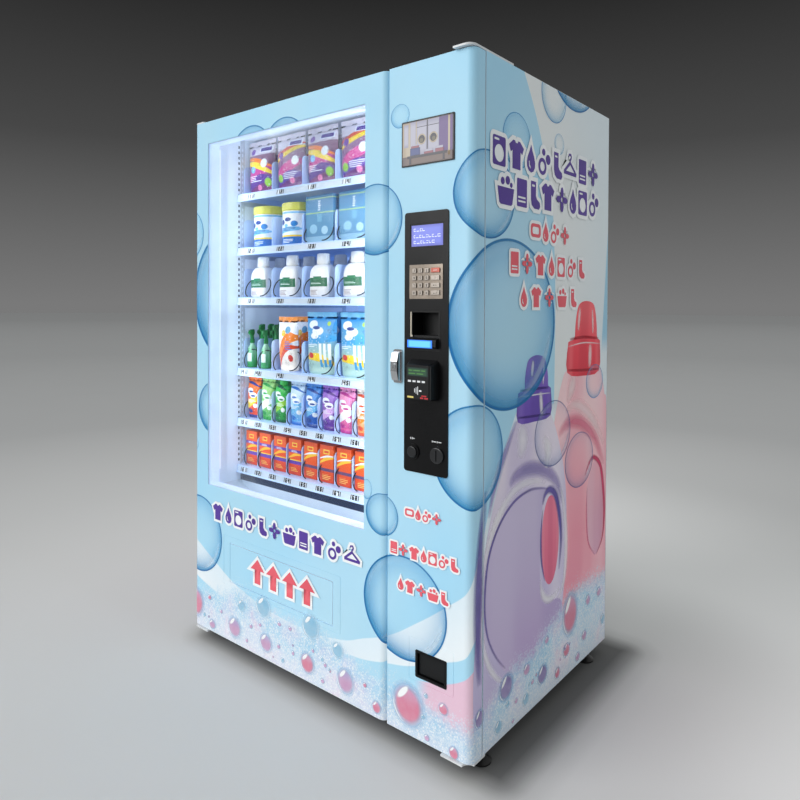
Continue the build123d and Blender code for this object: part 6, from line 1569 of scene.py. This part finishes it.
# ------------------------------------------------------------------ camera, light and floor
def look(ob, position, forward, roll=0.0):
    fwd = Vector(forward).normalized()
    right = fwd.cross(Vector((0, 0, 1))).normalized()
    up = right.cross(fwd)
    r2 = right * math.cos(roll) + up * math.sin(roll)
    u2 = -right * math.sin(roll) + up * math.cos(roll)
    m = Matrix((r2, u2, -fwd)).transposed().to_4x4()
    m.translation = Vector(position)
    ob.matrix_world = m


YAW, PITCH, ROLL = 0.6873, -0.0132, 0.0041
cam = bpy.data.cameras.new("camera")
cam.lens, cam.sensor_width, cam.sensor_fit = 30.03, 36.0, "HORIZONTAL"
cam.shift_x, cam.shift_y = 0.0, -0.1083
cam.clip_start, cam.clip_end = 0.05, 200.0
cam_ob = bpy.data.objects.new("camera", cam)
bpy.context.scene.collection.objects.link(cam_ob)
look(cam_ob, (1.49446, -1.78569, 1.19189), (-math.sin(YAW) * math.cos(PITCH), math.cos(YAW) * math.cos(PITCH), math.sin(PITCH)), ROLL)
bpy.context.scene.camera = cam_ob

scene = bpy.context.scene
scene.view_settings.view_transform = "Standard"
scene.view_settings.look = "None"
scene.view_settings.exposure = 0.0


def area_light(name, position, forward, sx, sy, power, color=(1, 1, 1), hidden=True, body=None, spread=180.0):
    la = bpy.data.lights.new(name, "AREA")
    la.shape = "RECTANGLE"
    la.size, la.size_y = sx, sy
    la.energy = power
    la.color = color
    la.spread = math.radians(spread)
    ob = bpy.data.objects.new(name, la)
    scene.collection.objects.link(ob)
    look(ob, position, forward)
    if hidden:
        ob.visible_camera = False
        ob.visible_glossy = False
    if body:
        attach(ob, body)
    return ob


key = bpy.data.lights.new("key", "SUN")
key.energy = 1.74
key.angle = math.radians(46)
key.color = (1.0, 1.0, 1.0)
key_ob = bpy.data.objects.new("key", key)
scene.collection.objects.link(key_ob)
look(key_ob, (-2, -4, 3), (0.40, 0.74, -0.36))

# the lamps behind the door's frame: light only the inside
area_light("lamp_left", P(84, 62, 1170), (0.75, 0.66, 0), 0.014, 1.14, 1.3, (0.78, 0.89, 1.0), body="window_door", spread=170)
area_light("lamp_right", P(822, 62, 1170), (-0.75, 0.66, 0), 0.014, 1.14, 2.6, (0.78, 0.89, 1.0), body="window_door", spread=170)

world = bpy.data.worlds.new("studio")
scene.world = world
world.use_nodes = True
wn = world.node_tree
wn.nodes.clear()
w_out = wn.nodes.new("ShaderNodeOutputWorld")
w_tc = wn.nodes.new("ShaderNodeTexCoord")
w_sep = wn.nodes.new("ShaderNodeSeparateXYZ")
wn.links.new(w_tc.outputs["Generated"], w_sep.inputs[0])
w_ramp = wn.nodes.new("ShaderNodeValToRGB")
w_rng = wn.nodes.new("ShaderNodeMapRange")
for key_name, v in (("From Min", -0.05), ("From Max", 0.45), ("To Min", 0.0), ("To Max", 1.0)):
    w_rng.inputs[key_name].default_value = v
wn.links.new(w_sep.outputs[2], w_rng.inputs["Value"])
wn.links.new(w_rng.outputs[0], w_ramp.inputs[0])
el = w_ramp.color_ramp.elements
el[0].position, el[0].color = 0.1, rgb(121, 121, 121)
el[1].position, el[1].color = 0.93, rgb(40, 40, 40)
e = el.new(0.55)
e.color = rgb(71, 71, 71)
w_seen = wn.nodes.new("ShaderNodeBackground")
wn.links.new(w_ramp.outputs[0], w_seen.inputs[0])
w_soft = wn.nodes.new("ShaderNodeBackground")
w_soft.inputs[0].default_value = (0.955, 0.99, 0.995, 1.0)
w_soft.inputs[1].default_value = 0.60
w_path = wn.nodes.new("ShaderNodeLightPath")
w_mix = wn.nodes.new("ShaderNodeMixShader")
wn.links.new(w_path.outputs["Is Camera Ray"], w_mix.inputs[0])
wn.links.new(w_soft.outputs[0], w_mix.inputs[1])
wn.links.new(w_seen.outputs[0], w_mix.inputs[2])
wn.links.new(w_mix.outputs[0], w_out.inputs[0])

floor_mesh = bpy.data.meshes.new("floor")
bm = bmesh.new()
ring = [bm.verts.new((0, 0, 0))]
rows = []
for r in (1, 2, 3, 5, 8, 14, 25, 45, 90):
    rows.append([bm.verts.new((r * math.cos(math.pi * i / 32), r * math.sin(math.pi * i / 32), 0)) for i in range(64)])
for i in range(64):
    j = (i + 1) % 64
    bm.faces.new((ring[0], rows[0][i], rows[0][j]))
    for a, b in zip(rows, rows[1:]):
        bm.faces.new((a[i], b[i], b[j], a[j]))
bm.to_mesh(floor_mesh)
bm.free()
floor = bpy.data.objects.new("floor", floor_mesh)
scene.collection.objects.link(floor)
t = Tree("floor")
co = t.coord()
fx, fy, _ = t.xyz(co)
dist = t.math("SQRT", t.add(t.mul(fx, fx), t.mul(fy, fy)))
# painted pool of light: the floor tone is lightest near the machine and darkens with distance
tone = t.ramp(t.range(dist, 0.0, 90.0, 0.0, 1.0), [(0.0, (0.675, 0.668, 0.660, 1)), (0.0167, (0.675, 0.668, 0.660, 1)), (0.0278, (0.575, 0.57, 0.565, 1)),
                                                    (0.0556, (0.405, 0.403, 0.402, 1)), (0.163, (0.318, 0.317, 0.316, 1)), (0.556, (0.246, 0.245, 0.244, 1)),
                                                    (1.0, (0.236, 0.235, 0.234, 1))])
tone = t.mix(t.mul(t.noise(co, 1.6, 4.0), 0.04), tone, (0.62, 0.62, 0.62, 1))
# painted contact shadow: a soft dark halo painted on the floor where the machine stands
gap_x = t.math("MAXIMUM", t.math("MAXIMUM", t.sub(fx, 0.635), t.sub(-0.535, fx)), 0.0)
gap_y = t.math("MAXIMUM", t.math("MAXIMUM", t.sub(fy, 0.47), t.sub(-0.335, fy)), 0.0)
gap = t.math("SQRT", t.add(t.mul(gap_x, gap_x), t.mul(gap_y, gap_y)))
halo = t.ramp(t.range(gap, 0.0, 0.2, 0.0, 1.0), [(0.0, (0.22, 0.22, 0.22, 1)), (0.2, (0.44, 0.44, 0.44, 1)), (0.42, (0.82, 0.82, 0.82, 1)), (0.7, (0.98, 0.98, 0.98, 1)), (1.0, (1, 1, 1, 1))])
# painted light: lifts the floor tone to the right of and behind the machine, where the key light's cast shadow falls
even = t.mul(t.step(gap, 0.12, 0.75), t.mul(t.step(t.add(fx, t.mul(fy, 0.8)), 0.55, 1.25), t.sub(1.0, t.step(dist, 1.3, 3.0))))
tone = t.mix(t.mul(even, 0.62), tone, (0.96, 0.95, 0.94, 1))
# painted contact shadow darkens the floor tone next to the machine
tone = t.mix(t.sub(1.0, t.xyz(halo)[0]), tone, (0.0, 0.0, 0.0, 1))
p = t.principled(Base_Color=tone, Roughness=0.85, Normal=t.bump(t.noise(co, 220.0, 3.0), 0.03, 0.001))
p.inputs["Specular IOR Level"].default_value = 0.0
floor_mesh.materials.append(t.finish(p.outputs[0]))

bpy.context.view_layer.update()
